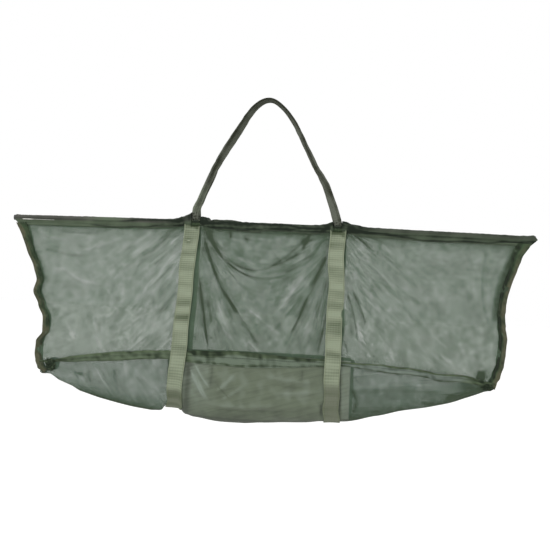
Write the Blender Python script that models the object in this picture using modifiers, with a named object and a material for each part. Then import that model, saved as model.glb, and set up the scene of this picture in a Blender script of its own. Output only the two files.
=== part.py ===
"""A hanging mesh weigh sling: two bowed poles in hem sleeves, see-through side panels, a
cloth base that hangs below the seams, end bindings with folded gussets, webbing straps and
two webbing handles.

Metres, +Z up. X runs along the poles, and the front is towards -Y. The origin is where a
hook carries the sling: the top of the two handles' crowns. The sling is shown hanging.
"""

import math

import bmesh
import bpy
from mathutils import Vector

# Poles and hem sleeves
POLE_HALF_LENGTH = 0.600
POLE_RADIUS = 0.0045
POLE_BOW = 0.005
POLE_DROP = 0.2915
POLE_Y = 0.015
CAP_LENGTH = 0.014
CAP_WALL = 0.0013
CAP_END_WALL = 0.003
SLEEVE_CLOTH = 0.0015
SLEEVE_CLEARANCE = 0.0006
HEM_DROP = 0.0165
HEM_MEETS = 0.0105
HEM_TOP_EDGE = 0.009

# Handles
WEBBING_WIDTH = 0.025
WEBBING_THICKNESS = 0.0022
HANDLE_FOOT_X = 0.163
HANDLE_CROWN_Y = 0.0127
LEFT_LEG_FULLNESS = 1.75
RIGHT_LEG_FULLNESS = 1.65
CROWN_ROUNDING = 0.12
LEG_ROOT = 0.022
EYE_CLEARANCE = 0.0006
EYE_SPACE = 0.0045
TWIST_PLACES = (-1.0, -0.88, -0.62, -0.1, 0.45, 0.8, 0.93, 1.0)
TWIST_ANGLES = (0.0, 48.0, 37.0, 68.0, 61.0, 8.0, 30.0, 0.0)

# Side panels, seams and base
PANEL_THICKNESS = 0.0012
CORNER_INSET = 0.070
CORNER_Y = 0.005
SEAM_HALF_WIDTH = 0.035
SEAM_CORNER_Z = -0.628
SEAM_LIFT = 0.040
SEAM_FLATNESS = 3
SEAM_TILT = 0.0042
END_CURVE = 3
KEEL_END_DEPTH = 0.021
KEEL_TILT = 0.0122
BELLY_DEPTH = 0.096
BELLY_FULLNESS = 0.8
NYLON_HALF_LENGTH = 0.208
BAND_HEIGHT = 0.023
BAND_END_HEIGHT = 0.010
BAND_THICKNESS = 0.0015
INNER_TAPE_WIDTH = 0.012
TAPE_THICKNESS = 0.0010

# Straps, end bindings and gussets
STRAP_WIDTH = 0.036
STRAP_THICKNESS = 0.0015
STRAP_TOP_DROP = 0.014
LEFT_STRAP_TOP_X = 0.172
RIGHT_STRAP_TOP_X = 0.165
LEFT_STRAP_LEAN = 0.016
RIGHT_STRAP_LEAN = 0.002
BINDING_WIDTH = 0.018
GUSSET_FOLD = 0.090
GUSSET_CLOTH = 0.0010
GUSSET_LEAST = 0.024
GUSSET_FOLD_SPREAD = 0.030

# Running gap between neighbours, and the gap where two edges meet at the seam
GAP = 0.0004
SEAM_GAP = 0.0005

# Joint lines, and the size of the marks that show them
SIDE_HINGE_Y = 0.032
SIDE_HINGE_Z = -0.632
HINGE_MARK_LENGTH = 0.030

# Steps along and around each surface
PANEL_COLUMNS = 28
PANEL_ROWS = 8
SLEEVE_COLUMNS = 6
SLEEVE_ARC_STEPS = 8
POLE_STEPS = 16
TROUGH_STEPS = 8
KEEL_CROWDING = 1.5
NYLON_COLUMNS = 6
MESH_END_COLUMNS = 9
HANDLE_STEPS = 37
ROUND_STEPS = 16

# Each finish: linear colour, roughness, metallic
FINISHES = {
    "polyester mesh": ((0.085, 0.118, 0.092), 0.80, 0.0),
    "woven nylon": ((0.118, 0.152, 0.110), 0.72, 0.0),
    "hem cloth": ((0.050, 0.072, 0.052), 0.80, 0.0),
    "binding tape": ((0.060, 0.066, 0.040), 0.82, 0.0),
    "strap webbing": ((0.265, 0.305, 0.190), 0.78, 0.0),
    "handle webbing": ((0.058, 0.062, 0.040), 0.80, 0.0),
    "fibreglass": ((0.160, 0.190, 0.110), 0.40, 0.0),
    "vinyl": ((0.012, 0.013, 0.012), 0.50, 0.0),
}

FRONT, BACK = -1, 1
LEFT, RIGHT = -1, 1
SIDE_NAMES = {FRONT: "front", BACK: "back"}
END_NAMES = {LEFT: "left", RIGHT: "right"}


def spread(first, last, steps):
    """steps + 1 evenly spaced values from first to last."""
    return [first + (last - first) * i / steps for i in range(steps + 1)]


def blend(first, last, share):
    return first + (last - first) * share


def through(places, values, place):
    """The value at a place, eased between the two listed places around it."""
    for i in range(len(places) - 1):
        if place <= places[i + 1]:
            share = (place - places[i]) / (places[i + 1] - places[i])
            return blend(values[i], values[i + 1], share * share * (3 - 2 * share))
    return values[-1]


# The sling's bottom corners
CORNER_X = POLE_HALF_LENGTH - CORNER_INSET


# The surfaces that everything is laid on


def pole_z(x):
    """Height of a pole's centre line, bowed up in the middle."""
    return -POLE_DROP - POLE_BOW * (x / POLE_HALF_LENGTH) ** 2


def lens(x):
    """1 in the middle of the sling, 0 at its bottom corners and less beyond them."""
    return 1 - (x / CORNER_X) ** 2


def seam_z(x):
    """Height of the side seams, highest and flattest in the middle, and higher to the right."""
    lift = SEAM_LIFT * (1 - abs(x / CORNER_X) ** SEAM_FLATNESS)
    return SEAM_CORNER_Z + lift + SEAM_TILT * x / CORNER_X


def seam_y(x):
    return blend(CORNER_Y, SEAM_HALF_WIDTH, lens(x))


def keel_depth(x):
    """How far the base hangs below its seams, a little lower at its left end."""
    belly = BELLY_DEPTH * max(0.0, lens(x)) ** BELLY_FULLNESS
    end_depth = KEEL_END_DEPTH - KEEL_TILT * x / CORNER_X
    return seam_z(x) - SEAM_CORNER_Z + end_depth + belly


def end_x(share):
    """Half length of a side panel at a share of the way from its pole to its seam."""
    reach = POLE_HALF_LENGTH - CAP_LENGTH
    return blend(CORNER_X, reach, (1 - share) ** END_CURVE)


def side_share(x, drop):
    """How far down the side panel a drop below the pole is."""
    return drop / (pole_z(x) - seam_z(x))


def end_share(drop):
    """The same at the panel's end."""
    return side_share(end_x(0.0), drop)


def on_side(side, x, share, out=0.0):
    """A point on a side panel, or out from it by that much."""
    y = blend(POLE_Y, seam_y(x), share) + out
    return Vector((x, side * y, blend(pole_z(x), seam_z(x), share)))


def on_trough(x, turn, out=0.0):
    """A point on the base's trough. turn is -90 degrees at the front seam, 0 at the keel."""
    width, depth = seam_y(x), keel_depth(x)
    across, down = math.sin(turn), math.cos(turn)
    normal = Vector((0, across / width, -down / depth)).normalized()
    top = seam_z(x) - SEAM_GAP
    return Vector((x, width * across, top - depth * down)) + normal * out


def trough_turns():
    """Angles from seam to seam, closer together at the keel, where the cloth turns most."""
    shares = spread(0.0, 1.0, TROUGH_STEPS)
    half = [math.radians(90) * share**KEEL_CROWDING for share in shares]
    return [-turn for turn in reversed(half[1:])] + half


def base_columns(first, last, steps):
    """Places along the base, closer together towards the corners."""
    turns = spread(math.asin(first / CORNER_X), math.asin(last / CORNER_X), steps)
    return [CORNER_X * math.sin(turn) for turn in turns]


NYLON_X = base_columns(-NYLON_HALF_LENGTH, NYLON_HALF_LENGTH, NYLON_COLUMNS)
MESH_END_X = base_columns(NYLON_HALF_LENGTH + SEAM_GAP, CORNER_X, MESH_END_COLUMNS)

# Rows down a side panel: the bindings and gussets share those below the hem
END_ROWS = spread(end_share(HEM_DROP + SEAM_GAP), 1.0, PANEL_ROWS)
SIDE_ROWS = [end_share(HEM_TOP_EDGE)] + END_ROWS

# How far out from its neighbour's middle each layer of cloth lies
HEM_OUT = PANEL_THICKNESS / 2 + GAP + SLEEVE_CLOTH / 2
BAND_OUT = PANEL_THICKNESS / 2 + GAP + BAND_THICKNESS / 2
PROUDEST = max(HEM_OUT + SLEEVE_CLOTH / 2, BAND_OUT + BAND_THICKNESS / 2)
STRAP_OUT = PROUDEST + GAP + STRAP_THICKNESS / 2
LOW_STRAP_OUT = PANEL_THICKNESS / 2 + GAP + STRAP_THICKNESS / 2
BINDING_OUT = PANEL_THICKNESS / 2 + GAP + TAPE_THICKNESS / 2
GUSSET_IN = PANEL_THICKNESS / 2 + GAP + GUSSET_CLOTH / 2
BINDING_IN = GUSSET_IN + GUSSET_CLOTH / 2 + GAP + TAPE_THICKNESS / 2
INNER_TAPE_IN = PANEL_THICKNESS / 2 + GAP + TAPE_THICKNESS / 2
EYE_RADIUS = POLE_RADIUS + EYE_CLEARANCE + WEBBING_THICKNESS / 2
SLEEVE_RADIUS = POLE_RADIUS + SLEEVE_CLEARANCE + SLEEVE_CLOTH / 2
SLEEVE_NOTCH = WEBBING_WIDTH / 2 + EYE_SPACE


# Making objects


def clear_scene():
    for thing in list(bpy.data.objects):
        bpy.data.objects.remove(thing, do_unlink=True)


def new_collection(name):
    collection = bpy.data.collections.new(name)
    bpy.context.scene.collection.children.link(collection)
    return collection


def finish(thing, kind):
    """Gives an object a material of its own, of one of the kinds in FINISHES."""
    colour, roughness, metallic = FINISHES[kind]
    material = bpy.data.materials.new(f"{thing.name} {kind}")
    material.use_nodes = True
    shader = material.node_tree.nodes["Principled BSDF"]
    shader.inputs["Base Color"].default_value = (*colour, 1.0)
    shader.inputs["Roughness"].default_value = roughness
    shader.inputs["Metallic"].default_value = metallic
    thing.data.materials.append(material)


def new_object(name, shape, kind):
    mesh = bpy.data.meshes.new(name)
    shape.to_mesh(mesh)
    shape.free()
    thing = bpy.data.objects.new(name, mesh)
    sling.objects.link(thing)
    finish(thing, kind)
    return thing


def hang(thing, hinge):
    """Parents an object to the empty on its joint's axis, leaving it where it is."""
    thing.parent = hinge
    thing.matrix_parent_inverse = hinge.matrix_world.inverted()


def new_hinge(name, place, parent=None):
    """An empty on a joint's axis."""
    hinge = bpy.data.objects.new(name, None)
    sling.objects.link(hinge)
    hinge.empty_display_size = HINGE_MARK_LENGTH
    hinge.location = place
    bpy.context.view_layer.update()
    if parent:
        hang(hinge, parent)
        bpy.context.view_layer.update()
    return hinge


def sheet(name, columns, rows, place, thickness, kind):
    """Cloth: an open grid laid on a surface by place(column, row), then made solid."""
    grid = bmesh.new()
    across, down = len(columns) - 1, len(rows) - 1
    bmesh.ops.create_grid(grid, x_segments=across, y_segments=down, size=1.0)
    for vert in grid.verts:
        column = round((vert.co.x + 1) / 2 * across)
        row = round((vert.co.y + 1) / 2 * down)
        vert.co = place(columns[column], rows[row])
    cloth = new_object(name, grid, kind)
    solid = cloth.modifiers.new("Thickness", "SOLIDIFY")
    solid.thickness = thickness
    solid.offset = 0
    solid.use_even_offset = True
    cloth.data.shade_smooth()
    return cloth


# Poles, caps and hem sleeves


def pole(side):
    """A bowed round rod with flat ends."""
    name = f"{SIDE_NAMES[side]}_pole"
    curve = bpy.data.curves.new(name, "CURVE")
    curve.dimensions = "3D"
    curve.bevel_depth = POLE_RADIUS
    curve.bevel_resolution = 4
    curve.render_resolution_u = 0
    curve.use_fill_caps = True
    line = curve.splines.new("POLY")
    line.points.add(POLE_STEPS)
    reach = POLE_HALF_LENGTH - CAP_END_WALL - GAP
    for point, x in zip(line.points, spread(-reach, reach, POLE_STEPS)):
        point.co = (x, side * POLE_Y, pole_z(x), 1)
    rod = bpy.data.objects.new(name, curve)
    sling.objects.link(rod)
    finish(rod, "fibreglass")
    return rod


def pole_cap(side, end):
    """A push-on vinyl cap: a turned cup over the pole's tip, tilted to the pole's slope."""
    inner = POLE_RADIUS + GAP
    outer = inner + CAP_WALL
    profile = [
        (0.0, 0.0),
        (outer, 0.0),
        (outer, -CAP_LENGTH),
        (inner, -CAP_LENGTH),
        (inner, -CAP_END_WALL),
        (0.0, -CAP_END_WALL),
    ]
    cup = bmesh.new()
    verts = [cup.verts.new((radius, 0, height)) for radius, height in profile]
    for first, last in zip(verts, verts[1:]):
        cup.edges.new((first, last))
    cap = new_object(f"{SIDE_NAMES[side]}_pole_{END_NAMES[end]}_cap", cup, "vinyl")
    turn = cap.modifiers.new("Turn", "SCREW")
    turn.steps = ROUND_STEPS
    turn.render_steps = ROUND_STEPS
    turn.use_merge_vertices = True
    turn.merge_threshold = 0.00001
    cap.data.shade_smooth()
    tip = end * POLE_HALF_LENGTH
    slope = 2 * POLE_BOW * tip / POLE_HALF_LENGTH**2
    cap.location = (tip, side * POLE_Y, pole_z(tip))
    cap.rotation_euler = (0, end * math.radians(90) + math.atan(slope), 0)
    return cap


def sleeve_profile():
    """The hem's line around the pole: (out, up) from the pole's centre, front skirt first.

    The skirts leave the arc as tangents and close on the panel where the hem meets it.
    """
    reach = math.hypot(HEM_OUT, HEM_MEETS)
    wrap = math.acos(SLEEVE_RADIUS / reach) - math.atan2(HEM_MEETS, HEM_OUT)
    arc = spread(wrap, math.pi - wrap, SLEEVE_ARC_STEPS)
    skirt = [(HEM_OUT, -HEM_DROP), (HEM_OUT, -HEM_MEETS)]
    over = [(SLEEVE_RADIUS * math.cos(a), SLEEVE_RADIUS * math.sin(a)) for a in arc]
    return skirt + over + [(-out, up) for out, up in reversed(skirt)]


def sleeve(side, name, first, last):
    """One stretch of hem cloth, folded over the pole and down both faces of the panel."""

    def place(x, point):
        out, up = point
        lean = on_side(side, x, side_share(x, max(0.0, -up))).y - side * POLE_Y
        return Vector((x, side * (POLE_Y + out) + lean, pole_z(x) + up))

    columns = spread(first, last, SLEEVE_COLUMNS)
    full_name = f"{SIDE_NAMES[side]}_{name}_sleeve"
    return sheet(full_name, columns, sleeve_profile(), place, SLEEVE_CLOTH, "hem cloth")


# Side panels, straps, end bindings and gussets


def mesh_panel(side):
    def place(across, share):
        return on_side(side, across * end_x(share), share)

    columns = spread(-1.0, 1.0, PANEL_COLUMNS)
    name = f"{SIDE_NAMES[side]}_mesh_panel"
    return sheet(name, columns, SIDE_ROWS, place, PANEL_THICKNESS, "polyester mesh")


def strap_x(end, share):
    """A strap's middle, at a share of the way from pole (0) to seam (1) to keel (2)."""
    if end == LEFT:
        return -(LEFT_STRAP_TOP_X + LEFT_STRAP_LEAN * share)
    return RIGHT_STRAP_TOP_X + RIGHT_STRAP_LEAN * share


def side_strap(side, end):
    def place(across, share):
        x = strap_x(end, share) + across * STRAP_WIDTH / 2
        top = side_share(x, STRAP_TOP_DROP)
        return on_side(side, x, blend(top, 1.0, share), STRAP_OUT)

    name = f"{SIDE_NAMES[side]}_{END_NAMES[end]}_strap"
    columns, rows = spread(-1.0, 1.0, 2), spread(0.0, 1.0, 4)
    return sheet(name, columns, rows, place, STRAP_THICKNESS, "strap webbing")


def end_binding(side, end):
    """Tape folded over the panel's end, with the gusset's edge inside it."""
    web = -(SEAM_GAP + TAPE_THICKNESS / 2)
    outer_leaf = [(BINDING_WIDTH, BINDING_OUT), (web, BINDING_OUT)]
    inner_leaf = [(web, -BINDING_IN), (BINDING_WIDTH, -BINDING_IN)]

    def place(point, share):
        inward, out = point
        return on_side(side, end * (end_x(share) - inward), share, out)

    name = f"{SIDE_NAMES[side]}_{END_NAMES[end]}_binding"
    profile = outer_leaf + inner_leaf
    return sheet(name, profile, END_ROWS, place, TAPE_THICKNESS, "binding tape")


def gusset(side, end):
    """Half of the end gusset, folded into the pouch from the end to the middle plane."""
    fold_y = GUSSET_CLOTH

    def place(part, share):
        width = max(GUSSET_FOLD * (1 - share), GUSSET_LEAST)
        inward = (GAP, BINDING_WIDTH + GAP, width)[part]
        point = on_side(side, end * (end_x(share) - inward), share, -GUSSET_IN)
        if part == 2:
            folded = min(1.0, (width - GUSSET_LEAST) / GUSSET_FOLD_SPREAD)
            point.y = blend(point.y, side * fold_y, folded)
        return point

    name = f"{SIDE_NAMES[side]}_{END_NAMES[end]}_gusset"
    return sheet(name, [0, 1, 2], END_ROWS, place, GUSSET_CLOTH, "polyester mesh")


# Handles


def handle_centre(side, place):
    """A point on a handle's middle line. place is -1 at the left foot and 1 at the right."""
    fullness = LEFT_LEG_FULLNESS if place < 0 else RIGHT_LEG_FULLNESS
    crown = math.radians(through(TWIST_PLACES, TWIST_ANGLES, 0.0))
    crown_z = -(WEBBING_WIDTH * math.cos(crown) + WEBBING_THICKNESS * math.sin(crown)) / 2
    foot_z = pole_z(HANDLE_FOOT_X) + EYE_RADIUS
    top, foot = CROWN_ROUNDING**fullness, math.hypot(1.0, CROWN_ROUNDING) ** fullness
    down = (math.hypot(place, CROWN_ROUNDING) ** fullness - top) / (foot - top)
    y = blend(HANDLE_CROWN_Y, POLE_Y, down)
    return Vector((place * HANDLE_FOOT_X, side * y, blend(crown_z, foot_z, down)))


def handle_section(side, place):
    """The four corners of the webbing at a place on the handle, twisted about its line."""
    centre = handle_centre(side, place)
    step = 0.01
    before = handle_centre(side, max(place - step, -1.0))
    after = handle_centre(side, min(place + step, 1.0))
    along = (after - before).normalized()
    root = min(1.0, (1 - abs(place)) * POLE_DROP / LEG_ROOT)
    up = Vector((0, 0, 1 if place < 0 else -1))
    along = up.lerp(along, root * root * (3 - 2 * root)).normalized()
    flat = along.cross(Vector((0, 1, 0))).normalized()
    twist = math.radians(through(TWIST_PLACES, TWIST_ANGLES, place))
    wide = flat * math.cos(twist) + Vector((0, side, 0)) * math.sin(twist)
    thick = along.cross(wide).normalized()
    half_wide, half_thick = wide * WEBBING_WIDTH / 2, thick * WEBBING_THICKNESS / 2
    return [
        centre - half_wide - half_thick,
        centre + half_wide - half_thick,
        centre + half_wide + half_thick,
        centre - half_wide + half_thick,
    ]


def handle_places():
    """Places along the handle, closer together at the feet, where it leaves the eyes."""
    return [math.sin(math.radians(angle)) for angle in spread(-90, 90, HANDLE_STEPS)]


def handle_eye(side, end, handle):
    """The loop of webbing that the pole turns in, joined to the handle's foot."""
    inner = POLE_RADIUS + EYE_CLEARANCE
    outer = inner + WEBBING_THICKNESS
    half = WEBBING_WIDTH / 2
    ring = bmesh.new()
    corners = [(outer, half), (outer, -half), (inner, -half), (inner, half)]
    verts = [ring.verts.new((radius, 0, height)) for radius, height in corners]
    for i, vert in enumerate(verts):
        ring.edges.new((vert, verts[(i + 1) % len(verts)]))
    mesh = bpy.data.meshes.new("handle_eye")
    ring.to_mesh(mesh)
    ring.free()
    eye = bpy.data.objects.new(f"{handle.name}_{END_NAMES[end]}_eye_tool", mesh)
    tools.objects.link(eye)
    turn = eye.modifiers.new("Turn", "SCREW")
    turn.steps = ROUND_STEPS
    turn.render_steps = ROUND_STEPS
    turn.use_merge_vertices = True
    turn.merge_threshold = 0.00001
    eye.location = (end * HANDLE_FOOT_X, side * POLE_Y, pole_z(HANDLE_FOOT_X))
    eye.rotation_euler = (0, math.radians(90), 0)
    eye.hide_render = True
    eye.display_type = "WIRE"
    join = handle.modifiers.new(f"{END_NAMES[end]} eye", "BOOLEAN")
    join.operation = "UNION"
    join.object = eye
    return eye


def handle(side):
    """Twisted webbing from eye to eye: a loft, because its section turns as it runs."""
    band = bmesh.new()
    rings = []
    for place in handle_places():
        rings.append([band.verts.new(corner) for corner in handle_section(side, place)])
    for low, high in zip(rings, rings[1:]):
        for i in range(4):
            j = (i + 1) % 4
            band.faces.new((low[i], low[j], high[j], high[i]))
    band.faces.new(reversed(rings[0]))
    band.faces.new(rings[-1])
    bmesh.ops.recalc_face_normals(band, faces=band.faces)
    strip = new_object(f"{SIDE_NAMES[side]}_handle", band, "handle webbing")
    eyes = [handle_eye(side, end, strip) for end in (LEFT, RIGHT)]
    return strip, eyes


# Base: nylon middle, mesh ends, seam bands, straps and inner tapes


def trough(name, columns, thickness, kind, out=0.0):
    def place(x, turn):
        return on_trough(x, turn, out)

    return sheet(name, columns, trough_turns(), place, thickness, kind)


def seam_band(side):
    """The binding along a side seam, on the outside of the base's top edge."""
    columns = [-x for x in reversed(MESH_END_X)] + NYLON_X + MESH_END_X

    def place(x, share):
        height = blend(BAND_END_HEIGHT, BAND_HEIGHT, lens(x))
        lowest = math.acos(height / keel_depth(x))
        return on_trough(x, side * blend(lowest, math.radians(90), share), BAND_OUT)

    name = f"{SIDE_NAMES[side]}_seam_band"
    return sheet(name, columns, spread(0.0, 1.0, 3), place, BAND_THICKNESS, "hem cloth")


def base_strap(end):
    """The strap under the base: it steps in from the seam bands onto the base's cloth."""
    turns = trough_turns()
    on_band = abs(turns[1])
    below_band = abs(turns[2])

    def place(across, turn):
        share = blend(2.0, 1.0, abs(turn) / math.radians(90))
        x = strap_x(end, share) + across * STRAP_WIDTH / 2
        step = min(1.0, max(0.0, (abs(turn) - below_band) / (on_band - below_band)))
        return on_trough(x, turn, blend(LOW_STRAP_OUT, STRAP_OUT, step))

    name = f"{END_NAMES[end]}_base_strap"
    return sheet(name, spread(-1.0, 1.0, 2), turns, place, STRAP_THICKNESS, "strap webbing")


def inner_tape(end):
    """The tape that binds the nylon to the mesh end, inside the pouch."""
    middle = end * NYLON_HALF_LENGTH
    columns = spread(middle - INNER_TAPE_WIDTH / 2, middle + INNER_TAPE_WIDTH / 2, 2)
    name = f"{END_NAMES[end]}_inner_seam_tape"
    return trough(name, columns, TAPE_THICKNESS, "binding tape", -INNER_TAPE_IN)


def build_base():
    trough("base_centre_panel", NYLON_X, PANEL_THICKNESS, "woven nylon")
    for end in (LEFT, RIGHT):
        columns = [end * x for x in MESH_END_X]
        trough(f"base_{END_NAMES[end]}_end", columns, PANEL_THICKNESS, "polyester mesh")
        base_strap(end)
        inner_tape(end)
    for side in (FRONT, BACK):
        seam_band(side)


def build_side(side):
    """One side: panel, pole, hem, straps, ends and handle, hung on their two hinges."""
    label = SIDE_NAMES[side]
    side_hinge = new_hinge(f"{label}_side_hinge", (0, side * SIDE_HINGE_Y, SIDE_HINGE_Z))
    pieces = [mesh_panel(side), pole(side)]
    sleeve_end = POLE_HALF_LENGTH - CAP_LENGTH - GAP
    near, far = HANDLE_FOOT_X - SLEEVE_NOTCH, HANDLE_FOOT_X + SLEEVE_NOTCH
    pieces.append(sleeve(side, "left", -sleeve_end, -far))
    pieces.append(sleeve(side, "middle", -near, near))
    pieces.append(sleeve(side, "right", far, sleeve_end))
    for end in (LEFT, RIGHT):
        pieces += [pole_cap(side, end), side_strap(side, end)]
        pieces += [end_binding(side, end), gusset(side, end)]
    for piece in pieces:
        hang(piece, side_hinge)
    pivot = (0, side * POLE_Y, pole_z(HANDLE_FOOT_X))
    handle_hinge = new_hinge(f"{label}_handle_hinge", pivot, side_hinge)
    strip, eyes = handle(side)
    for piece in [strip, *eyes]:
        hang(piece, handle_hinge)


clear_scene()
sling = new_collection("weigh_sling")
tools = new_collection("joining_tools")
build_base()
build_side(FRONT)
build_side(BACK)
bpy.context.view_layer.update()
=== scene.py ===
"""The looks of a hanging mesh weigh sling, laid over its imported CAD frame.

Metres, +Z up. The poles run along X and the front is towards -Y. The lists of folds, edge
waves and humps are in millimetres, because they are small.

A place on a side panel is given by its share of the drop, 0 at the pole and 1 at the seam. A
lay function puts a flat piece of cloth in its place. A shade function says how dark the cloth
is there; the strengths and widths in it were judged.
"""

import math
from functools import partial

import bmesh
import bpy
import numpy as np
from mathutils import Matrix, Vector


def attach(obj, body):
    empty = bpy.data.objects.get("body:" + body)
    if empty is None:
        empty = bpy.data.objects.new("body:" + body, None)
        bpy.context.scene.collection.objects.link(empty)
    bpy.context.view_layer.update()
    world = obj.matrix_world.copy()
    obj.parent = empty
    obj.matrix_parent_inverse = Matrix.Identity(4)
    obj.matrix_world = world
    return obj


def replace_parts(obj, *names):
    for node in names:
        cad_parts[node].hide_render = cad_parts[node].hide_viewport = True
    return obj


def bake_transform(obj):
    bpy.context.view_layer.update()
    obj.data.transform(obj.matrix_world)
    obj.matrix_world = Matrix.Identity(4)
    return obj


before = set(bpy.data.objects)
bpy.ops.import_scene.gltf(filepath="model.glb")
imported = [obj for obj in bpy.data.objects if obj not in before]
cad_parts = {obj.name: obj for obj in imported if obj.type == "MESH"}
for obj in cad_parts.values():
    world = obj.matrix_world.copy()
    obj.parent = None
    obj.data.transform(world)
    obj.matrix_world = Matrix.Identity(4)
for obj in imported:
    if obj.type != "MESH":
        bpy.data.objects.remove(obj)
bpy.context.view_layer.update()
bpy.context.scene.view_settings.view_transform = "Standard"

# Sizes of the CAD part
POLE_HALF_LENGTH = 0.600
POLE_BOW = 0.005
POLE_DROP = 0.2915
POLE_Y = 0.015
CAP_LENGTH = 0.014
HEM_DROP = 0.0165
HEM_MEETS = 0.0105
HEM_TOP_EDGE = 0.009
HEM_OUT = 0.00175
SLEEVE_RADIUS = 0.00585
SLEEVE_CLOTH = 0.0011
WEBBING_WIDTH = 0.025
WEBBING_THICKNESS = 0.0022
HANDLE_FOOT_X = 0.163
HANDLE_CROWN_Y = 0.0127
LEFT_LEG_FULLNESS = 1.75
RIGHT_LEG_FULLNESS = 1.65
CROWN_ROUNDING = 0.12
LEG_ROOT = 0.022
EYE_RADIUS = 0.0062
TWIST_PLACES = (-1.0, -0.88, -0.62, -0.1, 0.45, 0.8, 0.93, 1.0)
TWIST_ANGLES = (0.0, 48.0, 37.0, 68.0, 61.0, 8.0, 30.0, 0.0)
CORNER_X = 0.530
CORNER_Y = 0.005
SEAM_HALF_WIDTH = 0.035
SEAM_CORNER_Z = -0.628
SEAM_LIFT = 0.040
SEAM_FLATNESS = 3
SEAM_TILT = 0.0042
END_CURVE = 3
KEEL_END_DEPTH = 0.021
KEEL_TILT = 0.0122
BELLY_DEPTH = 0.096
BELLY_FULLNESS = 0.8
NYLON_HALF_LENGTH = 0.208
STRAP_WIDTH = 0.036
LEFT_STRAP_TOP_X = 0.172
RIGHT_STRAP_TOP_X = 0.165
LEFT_STRAP_LEAN = 0.016
RIGHT_STRAP_LEAN = 0.002
STRAP_TOP_SHARE = 0.0078 / 0.315
TACK_ACROSS = 0.26
TACK_SHARE = 0.137
STRAP_OUT = 0.00365
LOW_STRAP_OUT = 0.00175
BINDING_WIDTH = 0.018
BINDING_OUT = 0.0015
BINDING_IN = 0.0029
GUSSET_IN = 0.0015
GUSSET_FOLD = 0.090
GUSSET_LEAST = 0.024
INNER_TAPE_WIDTH = 0.012
INNER_TAPE_IN = 0.0015
BAND_OUT = 0.00175
# Bunched scraps of cloth at the bottom corners: centre (x, z), half size and random seed
CORNER_BUNCHES = (
    ("left_corner_tuck", (-0.501, -0.641), (0.013, 0.015), 201),
    ("right_corner_fold", (0.513, -0.632), (0.013, 0.007), 209),
)
# How much longer than its place such a scrap is, each way
# From the pole to the seam: the longest as seen, and the mean
SIDE_DROP = 0.33
MEAN_DROP = 0.31
# From the seam to the keel under a strap
BASE_ARC = 0.15
PANEL_HALF_WIDTH = 0.586
HEM_TIP = 0.5856
BINDING_TOP_SHARE = 0.034
GUSSET_TOP = 0.0205

# A binding's leaf, the turn from its outer leaf to its inner one, and its whole flat width
BINDING_LEAF = 0.83 * BINDING_WIDTH
BINDING_TURN_RADIUS = (BINDING_OUT + BINDING_IN) / 2
BINDING_TURN = math.pi * BINDING_TURN_RADIUS
BINDING_FLAT_WIDTH = 2 * BINDING_LEAF + BINDING_TURN

# How thick the cloths are drawn
STRAP_THICKNESS = 0.0013
TAPE_THICKNESS = 0.0009
NYLON_THICKNESS = 0.0008
TUCK_THICKNESS = 0.0007
INNER_TAPE_THICKNESS = 0.0006
SELVEDGE_THICKNESS = 0.0005
HANDLE_THICKNESS = 0.0018
EYE_THICKNESS = 0.0020

FRONT, BACK = -1, 1
LEFT, RIGHT = -1, 1
SIDE_NAMES = {FRONT: "front", BACK: "back"}
SIDE_BODIES = {FRONT: "front_side", BACK: "back_side"}
END_NAMES = {LEFT: "left", RIGHT: "right"}

# How much of the handle webbing's width shows, by place along it: the rest is folded over
HANDLE_SHARE_PLACES = (-1.0, -0.9, -0.8, -0.62, -0.1, 0.3, 0.45, 0.6, 0.7, 0.8, 0.93, 1.0)
HANDLE_SHARES = (0.52, 0.42, 0.42, 0.56, 0.74, 0.74, 0.79, 0.54, 0.46, 0.58, 0.76, 0.66)
# How far the handle's loop leans along X out of its smooth curve, by place along it
HANDLE_LEAN_PLACES = (
    (-1.0, -0.94, -0.9, -0.8, -0.735, -0.69, -0.61, -0.53, -0.45, -0.4, -0.32, -0.225, 0.0)
    + (0.2, 0.38, 0.45, 0.54, 0.6, 0.675, 0.7, 0.745, 0.8, 0.9, 1.0)
)
HANDLE_LEANS = (
    (-3, -10.2, -9.4, -8.1, -7.1, -4.6, -1.9, 0.5, 2.3, 2.2, -0.6, -2.6, -3.5)
    + (-5.2, -5.1, -7.5, -8.9, -7.8, -6.8, -5.5, -1.6, 1.5, 1.6, 0)
)
EYE_HALF_WIDTH = 0.0097
# Where the middle hem ends and the outer ones start, beside the handles' feet
HEM_ENDS = 0.1528
HEM_STARTS = 0.1732
# How far the hems reach past the caps, by drop below the pole
HEM_END_DROPS = (-0.007, 0.002, 0.008, 0.0165)
HEM_END_REACHES = {
    "left": (0.0090, 0.0122, 0.0080, 0.0),
    "right": (0.0110, 0.0185, 0.0130, 0.004),
}

# The mesh's holes, corner to corner: some three times coarser than real, so that they show
MESH_HOLE = 0.0021
# How soft the threads' edges are, in the net's pattern
THREAD_EDGE = 0.12

# How large the materials' uneven spots, bands and streaks are, in millimetres
YARN_SPOT_MM = 10.53
NET_PATCH_MM = 45.5
CLOTH_PATCH_MM = 33.3
WEBBING_BAND_LENGTH_MM, WEBBING_BAND_WIDTH_MM = 26.3, 111
SELVEDGE_SPOT_MM = 3.33
ROD_STREAK_LENGTH_MM, ROD_STREAK_WIDTH_MM = 33.3, 0.222
VINYL_SCUFF_MM = 6.25
VINYL_GRAIN_MM = 1.11
THREAD_SPOT_MM = 4.17

# The sockets of a Mix node that take its two colours
FIRST_COLOUR, SECOND_COLOUR = 6, 7

FLOOR_Z = -1.15

# How many steps a fold's line is measured in, and how many waves make up the random bumps
FOLD_STEPS = 16
RIPPLE_WAVES = 14

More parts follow.
